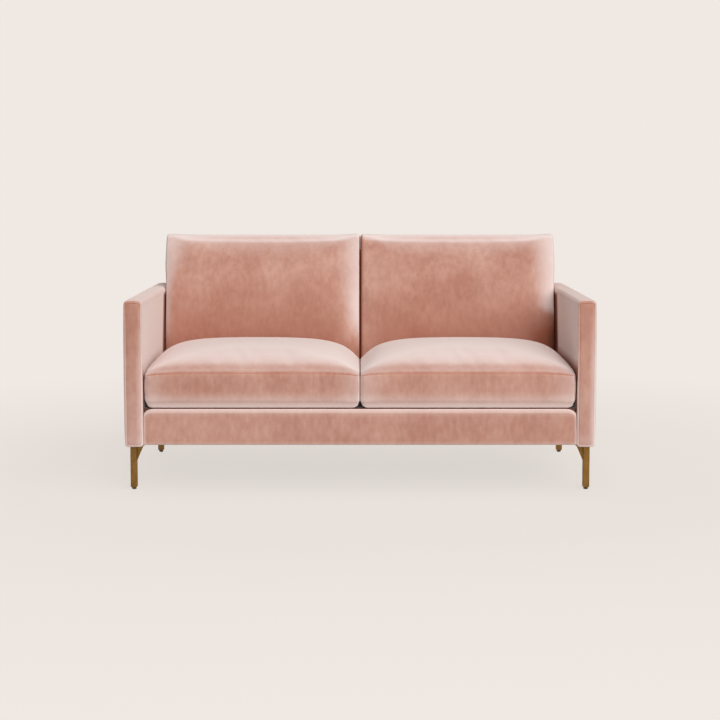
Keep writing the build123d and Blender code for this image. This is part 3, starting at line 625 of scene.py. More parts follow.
def velvet(finish):
    """Short-pile velvet: soft mottled patches, fine pile and a pale sheen at a slant.

    The point attribute read here paints light and shade into the colour: towards 1 a painted highlight as
    pale as at a slant, towards -1 painted shade, and towards -2 painted crevice shadow, where the sheen is
    turned down too.
    """
    nodes = Nodes("blush_velvet")
    patches = nodes.noise(7.0, detail=4.0, roughness=0.6)
    strokes = nodes.noise(60.0, detail=3.0, roughness=0.6, stretch=(1, 1, 0.45))
    brushed_and_lit = nodes.math("ADD", nodes.math("MULTIPLY", patches, 0.6), nodes.math("MULTIPLY", strokes, 0.4))
    share = nodes.spread(brushed_and_lit, 0.37, 0.65)
    nap = nodes.add("ShaderNodeAttribute", attribute_name="nap").outputs["Fac"]
    pile = nodes.mix(share, finish.velvet, finish.velvet_light)
    slant = nodes.spread(nodes.add("ShaderNodeLayerWeight").outputs["Facing"], 0.12, 0.6)
    # Painted highlight above 0, painted shade below 0 and painted crevice shadow below -1, from the point
    # attribute
    pale = nodes.spread(nodes.math("ADD", slant, nap), 0.0, 1.0)
    dark = nodes.spread(nap, 0.0, -1.0)
    turned = nodes.mix(pale, pile, finish.velvet_slant_and_highlight)
    crevice_share = nodes.spread(nap, -1.0, -2.0)
    nodes.base(nodes.mix(crevice_share, nodes.mix(dark, turned, finish.velvet_shade), finish.velvet_crevice_shadow))
    # Sheen turned down where painted shade and painted crevice shadow lie, so that they stay dark at a slant
    nodes.link(nodes.spread(nap, -0.4, -1.4, 0.3, 0.0), nodes.shader.inputs["Sheen Weight"])
    nodes.bump(nodes.noise(900.0, detail=1.0), 0.15, 0.0006)
    nodes.set(
        Roughness=0.95,
        Specular_IOR_Level=0.1,
        Sheen_Roughness=0.4,
        Sheen_Tint=(*finish.velvet_sheen, 1),
    )
    return nodes.material


def woven_cloth(name, colour_low, colour_high, threads):
    """Plain woven cloth: crossed threads, a number of them to the metre."""
    nodes = Nodes(name)
    tone = nodes.spread(nodes.noise(30.0, detail=3.0), 0.3, 0.7)
    nodes.base(nodes.mix(tone, colour_low, colour_high))
    weave = nodes.math(
        "ADD",
        nodes.noise(threads, detail=1.0, stretch=(1, 0.1, 1)),
        nodes.noise(threads, detail=1.0, stretch=(0.1, 1, 1)),
    )
    nodes.bump(weave, 0.3, 0.0004)
    nodes.set(Roughness=0.9, Specular_IOR_Level=0.15, Sheen_Weight=0.2, Sheen_Roughness=0.5)
    return nodes.material


def wood(name, pale, dark, stretch):
    """Planed timber: long grain streaks of two tones."""
    nodes = Nodes(name)
    grain = nodes.noise(60.0, detail=5.0, roughness=0.6, stretch=stretch)
    nodes.base(nodes.mix(nodes.spread(grain, 0.35, 0.65), pale, dark))
    nodes.roughness(nodes.spread(grain, 0.3, 0.7, 0.5, 0.7))
    nodes.bump(grain, 0.2, 0.0005)
    return nodes.material


def metal(name, base, worn, rough_low, rough_high):
    """Satin metal: faint cloudy tarnish and fine brushing."""
    nodes = Nodes(name)
    tarnish = nodes.noise(35.0, detail=4.0, roughness=0.6)
    nodes.base(nodes.mix(nodes.spread(tarnish, 0.35, 0.7), base, worn))
    brushing = nodes.noise(400.0, detail=2.0, stretch=(1, 1, 0.05))
    nodes.roughness(nodes.spread(brushing, 0.3, 0.7, rough_low, rough_high))
    nodes.bump(brushing, 0.05, 0.0002)
    nodes.set(Metallic=1.0)
    return nodes.material


def foam(name, pale, dark):
    """Open-cell foam: fine pores over a cloudy cream."""
    nodes = Nodes(name)
    nodes.base(nodes.mix(nodes.spread(nodes.noise(12.0, detail=3.0), 0.3, 0.7), pale, dark))
    nodes.bump(nodes.noise(700.0, detail=2.0), 0.4, 0.0008)
    nodes.set(Roughness=0.95, Specular_IOR_Level=0.1)
    return nodes.material


def plastic(name, base, worn):
    """Moulded nylon with a faint grain."""
    nodes = Nodes(name)
    grain = nodes.noise(300.0, detail=2.0)
    nodes.base(nodes.mix(nodes.spread(grain, 0.3, 0.7), base, worn))
    nodes.roughness(nodes.spread(grain, 0.3, 0.7, 0.4, 0.55))
    nodes.bump(grain, 0.1, 0.0003)
    return nodes.material


def make_finishes(finish):
    """One material for each of the record's slots, by slot name."""
    return {
        "velvet": velvet(finish),
        "deck_cloth": woven_cloth("deck_cloth", finish.deck, [1.25 * c for c in finish.deck], 700.0),
        "dust_cloth": woven_cloth("dust_cloth", (0.008, 0.008, 0.009), (0.016, 0.016, 0.017), 500.0),
        "foam": foam("cream_foam", (0.80, 0.70, 0.47), (0.68, 0.56, 0.36)),
        "webbing": woven_cloth("elastic_webbing", (0.018, 0.016, 0.015), (0.04, 0.035, 0.03), 400.0),
        "zip_tape": woven_cloth("zip_tape", (0.36, 0.18, 0.14), (0.46, 0.25, 0.20), 1200.0),
        "zip_metal": metal("zip_metal", (0.40, 0.26, 0.10), (0.24, 0.15, 0.06), 0.3, 0.45),
        "frame_wood": wood("frame_timber", (0.50, 0.33, 0.17), (0.36, 0.21, 0.10), (0.06, 1, 1)),
        "hardboard": wood("hardboard", (0.18, 0.09, 0.04), (0.13, 0.06, 0.025), (1, 1, 1)),
        "steel": metal("zinc_steel", (0.55, 0.55, 0.56), (0.40, 0.40, 0.41), 0.3, 0.45),
        "leg_brass": metal("leg_brass", finish.brass, [0.7 * c for c in finish.brass], 0.32, 0.46),
        "glide_plastic": plastic("glide_nylon", (0.012, 0.012, 0.012), (0.025, 0.025, 0.025)),
    }


# Cushions


class BoxCushion:
    """Box cushion with a crowned panel, worked out on the sides of a cube.

    u runs across, v along and w out from the face that it rests on, in metres from the middle of the
    outline. Each array function takes the cube's points, from -1 to 1 on all three axes.
    """

    def __init__(self, size, sign, width, depth, low, base):
        """Cushion of a property group's sizes in a solid's width and depth, with its underside at
        the low place and its seams measured from the base. The sign tells on which side the arm is."""
        self.size = size
        self.sign = sign
        side_bulge = (size.bulge + size.outer_bulge) / 2
        self.half = np.array([width / 2 + size.reach - side_bulge, depth / 2 - size.bulge])
        self.shift = sign * (side_bulge - size.outer_bulge)
        self.low = low
        self.low_seam = base + size.low_seam
        self.top_seam = base + size.top_seam

    def corner(self, plan):
        """Corner radius, as a column: one for the near half of the outline and one for the far half."""
        return np.where(plan[:, 1:] < 0, self.size.near_corner, self.size.far_corner)

    def plan(self, cube):
        """u and v of each point, and the outward direction there.

        Past the corner's centre a point is drawn in from the square to the round corner, by the
        larger of its two distances over their hypotenuse.
        """
        square = cube[:, :2] * self.half
        inner_half = self.half - self.corner(square)
        inner = np.clip(square, -inner_half, inner_half)
        out = square - inner
        reach = np.maximum(np.hypot(out[:, 0], out[:, 1]), TINY)
        drawn = np.abs(out).max(axis=1) / reach
        return inner + out * drawn[:, None], out / reach[:, None]

    def edge_distance(self, plan):
        """Distance from the outline, inside it."""
        return panel_distance(plan[:, 0], plan[:, 1], *self.half, self.corner(plan)[:, 0])

    def quarter_round(self, distance, radius, power=2.0):
        """Rise of a quarter circle from 0 at the outline to 1 at its radius, squarer with more power."""
        left = 1 - np.clip(distance / radius, 0, 1)
        return (1 - left ** power) ** (1 / power)

    def swell(self, plan):
        """Height of the panel above its seam at the corners.

        Across and along are both (1 - place ** power) ** ease. The side edges rise by
        side_rise * along, and inside them (crown - side_rise) * across * along is added, with a
        quarter ellipse at the edges as the roll. The far half drops towards its end, and the corners
        by (u * v) ** 8.
        """
        size = self.size
        u, v = np.clip(np.abs(plan) / self.half, 0, 1).T
        across = (1 - u ** size.power_across) ** size.ease_across
        along = (1 - v ** size.power_along) ** size.ease_along
        at_side = self.quarter_round(self.half[0] * (1 - u), size.roll_across)
        at_end = self.quarter_round(self.half[1] * (1 - v), size.roll_along)
        rolled = (size.roll_side + (1 - size.roll_side) * at_side) * at_end
        drop = size.far_drop * ease(plan[:, 1] / self.half[1], 0, 1) + size.corner_drop * (u * v) ** 8
        return (size.side_rise + (size.crown - size.side_rise) * across) * along + size.roll * rolled - drop

    def surface(self, cube, inset=0.0):
        """u, v, w of each point, drawn in by an inset.

        The boxing runs from the lower seam to the edge of the panel. The underside is a flat panel
        with a rounded lip, and the lower corners are drawn in by a quarter ellipse.
        """
        size = self.size
        plan, out = self.plan(cube)
        up = cube[:, 2]
        top = self.top_seam + self.swell(plan)
        height = self.low_seam + (up + 1) / 2 * (top - self.low_seam)
        lip = self.low_seam - self.low
        turned = self.quarter_round(self.edge_distance(plan), lip, LIP_POWER)
        height = height - np.where(up < -ON_SIDE, lip * turned, 0)
        bulge = np.where(self.sign * out[:, 0] > 0.5, size.outer_bulge, size.bulge)
        plan = plan + out * (bulge * (1 - up ** 2))[:, None] + (self.shift, 0)
        foot = np.clip(1 - (height - self.low) / size.foot_height, 0, 1)
        plan[:, 0] -= (plan[:, 0] - self.shift) / self.half[0] * size.foot_pull * (1 - np.sqrt(1 - foot ** 2))
        points = np.column_stack([plan, height])
        if inset:
            middle = np.array([0, 0, (self.low + self.top_seam) / 2])
            halves = np.array([*self.half, (self.top_seam + size.crown - self.low) / 2])
            points = middle + (points - middle) * (1 - inset / halves)
        return points

    def seam_distance(self, cube):
        """Distance of each point from the nearer of the two seams, over the surface."""
        plan, _ = self.plan(cube)
        on_boxing = np.abs(cube[:, 2]) < ON_SIDE
        boxing = (1 - np.abs(cube[:, 2])) / 2 * (self.top_seam - self.low_seam)
        return np.where(on_boxing, boxing, self.edge_distance(plan))

    def seams(self, cube):
        """How far the seams sink each point, as a distance inwards from the surface."""
        return groove(self.seam_distance(cube), self.size.seam_depth, self.size.seam_width)

    def seams_and_gaps_shade(self, cube, shaded):
        """Painted shade in the seams, and on the sides as far as they lie against a neighbour, where shade
        falls in the gap.
        """
        size = self.size
        _, out = self.plan(cube)
        side = shaded * ease(np.abs(out[:, 0]), *SIDE_TURN) * (np.abs(cube[:, 2]) < 1)
        seam = np.exp(-((2 * self.seam_distance(cube) / size.seam_width) ** 2))
        return size.side_shading * side + size.seam_shade * seam * (1 - side)

    def settled(self, cube, sides):
        """u, v, w of each point after the cover has settled over its filling.

        A coarse, even copy of the cover is simulated, held at its seams and where it rests, and its
        moves are carried to the cushion's own grid. The sides stay within the cushion's room.
        """
        size = self.size
        points = self.surface(cube)
        counts = [math.ceil(2 * half / size.cell) for half in self.half]
        counts.append(math.ceil((self.top_seam - self.low_seam) / size.cell))
        even, quads, even_sides = shell(*(np.linspace(-1, 1, count + 1) for count in counts))
        end = np.abs(even) > ON_SIDE
        held = (even[:, 2] < -ON_SIDE) | (end[:, 2] & (end[:, 0] | end[:, 1]))
        moved = settle(self.surface(even), quads, held, size.pressure, size.spare, size.cap)
        settled = points + carried(moved, even, even_sides, cube, sides)
        low, high = points[:, :2].min(axis=0), points[:, :2].max(axis=0)
        settled[:, :2] = np.clip(settled[:, :2], low, high)
        return settled

    def grid(self, finest, pitch):
        """Cube grid, close at the seams."""
        boxing = self.top_seam - self.low_seam
        return shell(
            eased_places(finest / self.half[0], pitch / self.half[0]),
            eased_places(finest / self.half[1], pitch / self.half[1]),
            eased_places(2 * finest / boxing, 2 * pitch / boxing),
        )


# Operators


class LOVESEAT_OT_finishes(bpy.types.Operator):
    """Makes the materials and puts them on the CAD nodes that stay in view or inside."""

    bl_idname = "loveseat.finishes"
    bl_label = "Finishes"

    def execute(self, context):
        finishes = make_finishes(context.scene.loveseat_finish)
        for slot, material in finishes.items():
            FINISH_NAMES[slot] = material.name
        for part in frame["record"]["subparts"]:
            node = frame["nodes"][part["node"]]
            material = finishes[part["material_slot"]]
            if not node.material_slots:
                node.data.materials.append(material)
            for slot in node.material_slots:
                slot.material = material
        return {"FINISHED"}


# Where the arms' painted light and shade change: shares of an arm's width and height
ARM_INNER = (0.8, 1.0)
ARM_TOP = (0.9, 1.0)
FRONT_UPPER = (0.55, 0.85)
FRONT_SUMMIT = (0.88, 0.98)
FRONT_LOWER = (0.2, 0.6)
FRONT_FOOT = (0.0, 0.12)
FRONT_RIGHT = (0.2, 1.0)

# Painted highlight on the rim and painted shade on the seam line of an end panel: shares of the panel's inset
# and of the seam's half width
RIM_FADE = (0.5, 1.6)
SEAM_LINE = 0.6

# Painted shadow band beside a back cushion: shares of the shadow's reach by side, and distances from the
# arm's top
BAND_FULL = {-1: 0.4, 1: 0.9}
BAND_FADE = 1.2
BAND_TOP = (-0.025, -0.015)

# Painted shadow in the corner beside a seat cushion: distances from its front, from the deck and from its
# upper seam
CORNER_NEAR = (0.0, 0.006)
CORNER_FAR = (0.02, 0.035)
CORNER_LOW = (-0.03, -0.01)
CORNER_HIGH = (-0.01, 0.01)


class LOVESEAT_OT_arms(bpy.types.Operator):
    """Velvet covers of the two arms, each with a seamed panel on its front and rear ends."""

    bl_idname = "loveseat.arms"
    bl_label = "Arms"

    def execute(self, context):
        size = context.scene.loveseat_covers
        for side, sign in SIDES:
            low, high = box_corners(f"{side}_arm_cover")
            middle = (low + high) / 2
            half = (high - low) / 2
            points, quads = self.block(size, low, high)
            share = (points - middle) / half
            self.swell(size, points, share, sign)
            piece = new_piece(f"{side}_arm_velvet", "velvet", "frame", points, quads, f"{side}_arm_cover")
            across, along, up = (points - middle).T
            inset = size.panel_inset
            outline = panel_distance(across, up, half[0] - inset, half[2] - inset, size.panel_corner)
            on_end = np.abs(along) > half[1] - size.arm_end / 2
            seam = np.where(on_end, groove(outline, size.seam_depth, size.seam_width), 0)
            push(piece, seam + size.ripple * ripples(points, *ARM_RIPPLES))
            # Painted highlight on the end panels' rounded rims, and painted shade along their seams
            from_edge = panel_distance(across, up, half[0], half[2], size.arm_edge)
            rim = size.rim_highlight * (1 - ease(from_edge / inset, *RIM_FADE))
            bell = np.exp(-((outline / (SEAM_LINE * size.seam_width)) ** 2))
            front = rim + (size.seam_shade - size.rim_highlight / 2) * bell
            # Painted shading of the fronts: painted shade above, painted light below and a painted highlight
            # on the right edge
            front += self.front_shading(size, share[:, 0], (share[:, 2] + 1) / 2)
            # Painted shade that tones down the arms' lit tops
            top = size.top_shading * ease(share[:, 2], *ARM_TOP)
            # Painted contact shadow on the inner faces, beside the cushions
            inner = ease(-sign * share[:, 0], *ARM_INNER) * self.contact_shadows(size, points, sign)
            set_attribute(piece, "nap", np.where(on_end, front, top + inner))
        return {"FINISHED"}

    def block(self, size, low, high):
        """Block with round long edges and shallow round ends.

        It is rounded while stretched along its length, so that its end edges become ellipses.
        """
        stretch = np.array([1, size.arm_edge / size.arm_end, 1])
        low, high = low * stretch, high * stretch
        seams_x, _, seams_z = np.column_stack([low + size.panel_inset, high - size.panel_inset])
        cube, quads, _ = shell(
            block_places(low[0], high[0], size.arm_edge, size.pitch, seams_x, size.seam_width),
            block_places(low[1], high[1], size.arm_edge, size.pitch * stretch[1]),
            block_places(low[2], high[2], size.arm_edge, size.pitch, seams_z, size.seam_width),
        )
        return round_block(cube, low, high, size.arm_edge) / stretch, quads

    def swell(self, size, points, share, sign):
        """Moves the points out with the padding: the outer face by 1 - height ** 4, and the top by
        height ** 2 * (1 - across ** 4). Both are halved at the very ends."""
        ends = 1 - 0.5 * np.abs(share[:, 1]) ** 20
        outer = np.clip(sign * share[:, 0], 0, 1)
        upper = np.clip(share[:, 2], 0, 1)
        points[:, 0] += sign * size.arm_swell * outer * (1 - share[:, 2] ** 4) * ends
        points[:, 2] += size.arm_crown * upper ** 2 * (1 - share[:, 0] ** 4) * ends

    def front_shading(self, size, across, height):
        """Painted shading of the end panels by height, from 0 to 1: painted shade towards the top, painted
        light towards the foot, and a painted highlight towards the right edge, on the side of the key light."""
        dark = size.front_top_shade * (ease(height, *FRONT_UPPER) + ease(height, *FRONT_SUMMIT))
        pale = size.front_foot_light * (2 - ease(height, *FRONT_LOWER) - ease(height, *FRONT_FOOT))
        return dark + pale + size.front_side_highlight * ease(across, *FRONT_RIGHT)

    def contact_shadows(self, size, points, sign):
        """Painted contact shadow in narrow bands: along the seat cushions' edges, down their front corners
        and along the back cushions' fronts, darker by the seat on the right arm, which faces away from the
        key light."""
        back = bpy.context.scene.loveseat_back
        reach = size.shadow_reach
        from_deck = points[:, 2] - DECK_HEIGHT
        from_seam = points[:, 2] - (DECK_HEIGHT + bpy.context.scene.loveseat_seat.top_seam)
        above = ease(from_seam, -reach, 0) * (1 - ease(from_seam, 0, reach))
        thick = back.top_seam + back.side_rise + back.roll_side * back.roll
        depth = points[:, 1] - (INSIDE_BACK + from_deck * math.tan(back.rake) - thick)
        full = reach * BAND_FULL[sign]
        behind = ease(depth, -full - BAND_FADE * reach, -full) * (1 - ease(depth, 0, reach))
        below = 1 - ease(points[:, 2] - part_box("left_arm_cover")[1].z, *BAND_TOP)
        from_front = points[:, 1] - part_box("left_seat_cushion_cover")[0].y
        corner = ease(from_front, *CORNER_NEAR) * (1 - ease(from_front, *CORNER_FAR))
        corner *= ease(from_deck, *CORNER_LOW) * (1 - ease(from_seam, *CORNER_HIGH))
        by_seat = size.seat_shadow * (size.shade if sign > 0 else 1)
        return np.minimum(by_seat * above, size.back_shadow * np.maximum(behind * below, corner))


# Where the rail's shape and its painted light and shade change: distances from its front, top, foot and ends
RAIL_HANG_DEPTH = 0.012
RAIL_HANG_HEIGHT = 0.05
RAIL_CORNER_FADE = (0.09, 0.005)
RAIL_UNDER = (0.008, 0.012)
RAIL_TOP = (0.003, 0.006)
RAIL_FOOT = (0, 0.014)
RAIL_END = (0.003, 0.007)

# Fade of the painted highlight band as shares of its height, and the share of a block's depth that its roll
# may take
RAIL_BAND_FADE = (0.75, 1.15)
ROLL_LIMIT = 0.45


class LOVESEAT_OT_front_rail(bpy.types.Operator):
    """Velvet cover of the front rail, rolled over its top edge, and the foam under it."""

    bl_idname = "loveseat.front_rail"
    bl_label = "Front rail"

    def execute(self, context):
        size = context.scene.loveseat_covers
        low, high = box_corners("front_rail_cover")
        points, quads = self.block(size, "front_rail_cover")
        hang = 1 - ease(points[:, 1], low[1] + RAIL_HANG_DEPTH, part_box("dust_cover")[0].y)
        hang *= 1 - ease(points[:, 2], low[2], low[2] + RAIL_HANG_HEIGHT)
        points[:, 2] -= size.rail_drop * hang
        cover = new_piece("front_rail_velvet", "velvet", "frame", points, quads, "front_rail_cover")
        push(cover, size.ripple * ripples(points, *RAIL_RIPPLES))
        from_top = self.top(size, points, high) - points[:, 2]
        from_foot = points[:, 2] - points[:, 2].min()
        from_end = high[0] - np.abs(points[:, 0])
        # Painted highlights on the rolled top, the round ends and the foot, and painted shadow on the top
        # under the seat's lip
        band = size.rail_highlight * (1 - ease(from_top / size.rail_band, *RAIL_BAND_FADE))
        end = size.rail_end_highlight * (1 - ease(from_end, *RAIL_END))
        pale = np.maximum(band, end) + size.rail_foot_highlight * (1 - ease(from_foot, *RAIL_FOOT))
        under = ease(points[:, 1] - low[1], *RAIL_UNDER) * (1 - ease(from_top, *RAIL_TOP))
        set_attribute(cover, "nap", pale * (1 - under) + size.rail_shadow * under)
        points, quads = self.block(size, "front_rail_padding")
        padding = new_piece("front_rail_foam", "foam", "frame", points, quads, "front_rail_padding")
        return {"FINISHED"}

    def top(self, size, points, high):
        """Height of the top at each point: a quarter ellipse down at the ends."""
        left = np.clip(1 - (high[0] - np.abs(points[:, 0])) / size.rail_corner_width, 0, 1)
        return high[2] - size.rail_corner * (1 - np.sqrt(1 - left ** 2))

    def block(self, size, node):
        """Block in a node's box, rolled over its top edges and with round top corners.

        It is rounded while stretched along its length, so that its end edges stay tight.
        """
        low, high = box_corners(node)
        tight = size.rail_foot
        end_edges = (low[0] + tight / 2, high[0] - tight / 2)
        cube, quads, _ = shell(
            block_places(low[0], high[0], size.rail_corner_width, size.pitch, end_edges, tight / 4),
            block_places(low[1], high[1], tight, tight),
            block_places(low[2], high[2], size.rail_roll, size.pitch),
        )
        roll = min(size.rail_roll, ROLL_LIMIT * (high[1] - low[1]))
        radius = tight + (roll - tight) * ease(cube[:, 2:], low[2], high[2])
        stretch = np.array([roll / tight, 1, 1])
        points = round_block(cube * stretch, low * stretch, high * stretch, radius) / stretch
        drop = high[2] - self.top(size, points, high)
        points[:, 2] -= drop * ease(points[:, 2], *(high[2] - np.array(RAIL_CORNER_FADE)))
        return points, quads


class LOVESEAT_OT_back(bpy.types.Operator):
    """Velvet cover of the back, with a leaning inside face, a narrow top and a seamed outside panel,
    and the foam in it."""

    bl_idname = "loveseat.back"
    bl_label = "Back"

    def execute(self, context):
        size = context.scene.loveseat_covers
        points, quads, seam = self.block(context, 0.0)
        cover = new_piece("back_velvet", "velvet", "frame", points, quads, "back_cover")
        push(cover, seam + size.ripple * ripples(points, *BACK_RIPPLES))
        points, quads, _ = self.block(context, size.back_foam_inset)
        padding = new_piece("back_foam", "foam", "frame", points, quads, "back_padding")
        return {"FINISHED"}

    def block(self, context, drawn):
        """Block in the cover's box, drawn in by a distance, and the depth of the seam at each point.

        It is rounded while upright, and then its front is moved to the lean.
        """
        size = context.scene.loveseat_covers
        slope = math.tan(context.scene.loveseat_back.rake)
        low, high = box_corners("back_cover")
        low, high = low + drawn, high - drawn
        radius = size.back_edge - drawn
        top_front = low[1] + (high[2] - DECK_HEIGHT) * slope
        upright_low = np.array([low[0], top_front, low[2]])
        inset = size.back_panel_inset
        seams_x, _, seams_z = np.column_stack([low + inset, high - inset])
        cube, quads, _ = shell(
            block_places(low[0], high[0], radius, size.pitch, seams_x, size.seam_width),
            block_places(top_front, high[1], radius, size.pitch),
            block_places(low[2], high[2], radius, size.pitch, seams_z, size.seam_width),
        )
        points = round_block(cube, upright_low, high, radius)
        half = (high - upright_low) / 2
        across, _, up = (points - (upright_low + high) / 2).T
        outline = panel_distance(across, up, half[0] - inset, half[2] - inset, size.panel_corner)
        on_rear = points[:, 1] > high[1] - radius / 2
        seam = np.where(on_rear, groove(outline, size.seam_depth, size.seam_width), 0)
        lean = low[1] + np.maximum(points[:, 2] - DECK_HEIGHT, 0) * slope
        share = (high[1] - points[:, 1]) / (high[1] - top_front)
        points[:, 1] -= (top_front - lean) * share
        return points, quads, seam


# Cells of the sheets' grids, and the deck cloth's hem in front of its solid, in thicknesses of the cloth
DECK_CELLS = (95, 13, 45)
DUST_CELLS = (96, 56)
TAPE_CELLS = (60, 8)
HEM_ROOM = 1.2

# A staple's crown is a flattened wire; zip teeth stand off their middle line in turn and leave gaps
STAPLE_FLATNESS = 1.6
TEETH_MARGIN = 0.004
TOOTH_OFFSET = 0.3
TOOTH_FILL = 0.7
TOOTH_RISE = 0.8


class LOVESEAT_OT_deck_cloth(bpy.types.Operator):
    """Plain cloth stretched over the deck pad and turned down behind the front rail.

    Its length runs straight up the hem, round a quarter circle and straight back over the pad.
    """

    bl_idname = "loveseat.deck_cloth"
    bl_label = "Deck cloth"

    def execute(self, context):
        size = context.scene.loveseat_sheets
        low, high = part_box("deck_cloth")
        bend = size.deck_bend
        room = HEM_ROOM * size.deck_thickness
        run_down = size.deck_hem - bend * math.pi / 4
        whole = run_down + bend * math.pi / 2 + high.y - low.y - bend + room
        turned = size.deck_hem + bend
        cells_across, cells_hem, cells_back = DECK_CELLS
        hem = np.linspace(0, turned, cells_hem + 1)
        runs = np.concatenate([hem[:-1], np.linspace(turned, whole, cells_back + 1)])
        places = np.linspace(low.x, high.x, cells_across + 1)
        cube, quads, _ = shell(places, runs, np.array([-size.deck_thickness, 0.0]))
        turn = np.clip((cube[:, 1] - run_down) / bend, 0, math.pi / 2)
        out = np.column_stack([np.zeros(len(turn)), -np.cos(turn), np.sin(turn)])
        points = out * (bend + cube[:, 2:]) + (0, low.y + bend - room, high.z - bend)
        points[:, 0] = cube[:, 0]
        points[:, 1] += np.maximum(cube[:, 1] - run_down - bend * math.pi / 2, 0)
        points[:, 2] -= np.maximum(run_down - cube[:, 1], 0)
        points[:, 2] -= size.deck_ripple * (1 + np.clip(ripples(points, *DECK_RIPPLES), -1, 1))
        cloth = new_piece("deck_sheet", "deck_cloth", "frame", points, quads, "deck_cloth")
        return {"FINISHED"}


class LOVESEAT_OT_dust_cover(bpy.types.Operator):
    """Thin black cloth stapled under the seat frame.

    It sags between the rails by a squared sine along, times one with two humps across.
    """

    bl_idname = "loveseat.dust_cover"
    bl_label = "Dust cover"

    def execute(self, context):
        size = context.scene.loveseat_sheets
        low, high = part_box("dust_cover")
        width, depth = high.x - low.x, high.y - low.y
        cube, quads, _ = shell(
            np.linspace(low.x, high.x, DUST_CELLS[0] + 1),
            np.linspace(low.y, high.y, DUST_CELLS[1] + 1),
            np.array([low.z, high.z]),
        )
        across = np.sin(2 * np.pi * cube[:, 0] / width) ** 2
        along = np.sin(np.pi * (cube[:, 1] - low.y) / depth) ** 2
        points = cube - np.outer(size.dust_sag * across * along, (0, 0, 1))
        cloth = new_piece("dust_sheet", "dust_cloth", "frame", points, quads, "dust_cover")
        staples = self.staples(size, low, high)
        return {"FINISHED"}

    def staples(self, size, low, high):
        """Even rows of staples along the four edges of the dust cover."""
        wire = size.staple_wire
        crown = STAPLE_FLATNESS * wire
        ends_x = (low.x + size.staple_inset, high.x - size.staple_inset)
        ends_y = (low.y + size.staple_inset, high.y - size.staple_inset)
        row_x = np.linspace(*ends_x, round((high.x - low.x) / size.staple_step))
        row_y = np.linspace(*ends_y, round((high.y - low.y) / size.staple_step))[1:-1]
        height = low.z - wire / 2
        along_x = [(x, y, height) for x in row_x for y in ends_y]
        along_y = [(x, y, height) for y in row_y for x in ends_x]
        points, quads = rows_of_blocks([
            (along_x, (size.staple_width, crown, wire)), (along_y, (crown, size.staple_width, wire)),
        ])
        return new_piece("dust_staples", "steel", "frame", points, quads)


class LOVESEAT_OT_zips(bpy.types.Operator):
    """Zips of the four cushion covers: a woven tape and two rows of teeth that mesh."""

    bl_idname = "loveseat.zips"
    bl_label = "Zips"

    def execute(self, context):
        lean = context.scene.loveseat_back.rake
        upright = np.array([[1, 0, 0], [0, 0, 1], [0, 1, 0]])
        leaning = np.array([
            [1, 0, 0], [0, -math.cos(lean), math.sin(lean)], [0, -math.sin(lean), -math.cos(lean)],
        ])
        for side, _ in SIDES:
            self.zip(context, f"{side}_seat", upright)
            self.zip(context, f"{side}_back", leaning)
        return {"FINISHED"}

    def zip(self, context, where, axes):
        """Zip in a node's box; the rows of axes are its length, its width and its outward direction."""
        size = context.scene.loveseat_sheets
        low, high = box_corners(f"{where}_zip")
        middle = (low + high) / 2
        run = high[0] - low[0]
        thick = size.tape_thickness
        cube, quads, _ = shell(
            np.linspace(-run / 2, run / 2, TAPE_CELLS[0] + 1),
            np.linspace(-size.tape_width / 2, size.tape_width / 2, TAPE_CELLS[1] + 1),
            np.array([-thick / 2, thick / 2]),
        )
        points = middle + cube @ axes
        tape = new_piece(f"{where}_zip_tape", "zip_tape", f"{where}_cushion", points, quads, f"{where}_zip")
        places = np.arange(-run / 2 + TEETH_MARGIN, run / 2 - TEETH_MARGIN, size.tooth_step)
        offset = TOOTH_OFFSET * size.tooth
        teeth = [(place, offset if number % 2 else -offset, thick) for number, place in enumerate(places)]
        tooth = (TOOTH_FILL * size.tooth_step, size.tooth, TOOTH_RISE * thick)
        points, quads = rows_of_blocks([(teeth, tooth)])
        new_piece(f"{where}_zip_teeth", "zip_metal", f"{where}_cushion", middle + points @ axes, quads)


# Where the seat cushions' painted light and shade change: distances from their front
SEAT_GAP_SHADE = (0.03, 0.07)
SEAT_ROLL = (0.02, 0.04)
SEAT_RISE = (0.03, 0.05)
SEAT_RISE_END = (0.07, 0.12)
LIP_TURN = (0.011, 0.015)
LIP_END = (0.03, 0.05)

# Painted highlights on the front boxing: the share at each end, and the height above the lower seam
BOXING_END = (0, 0.3)
BOXING_FOOT = (0, 0.042)


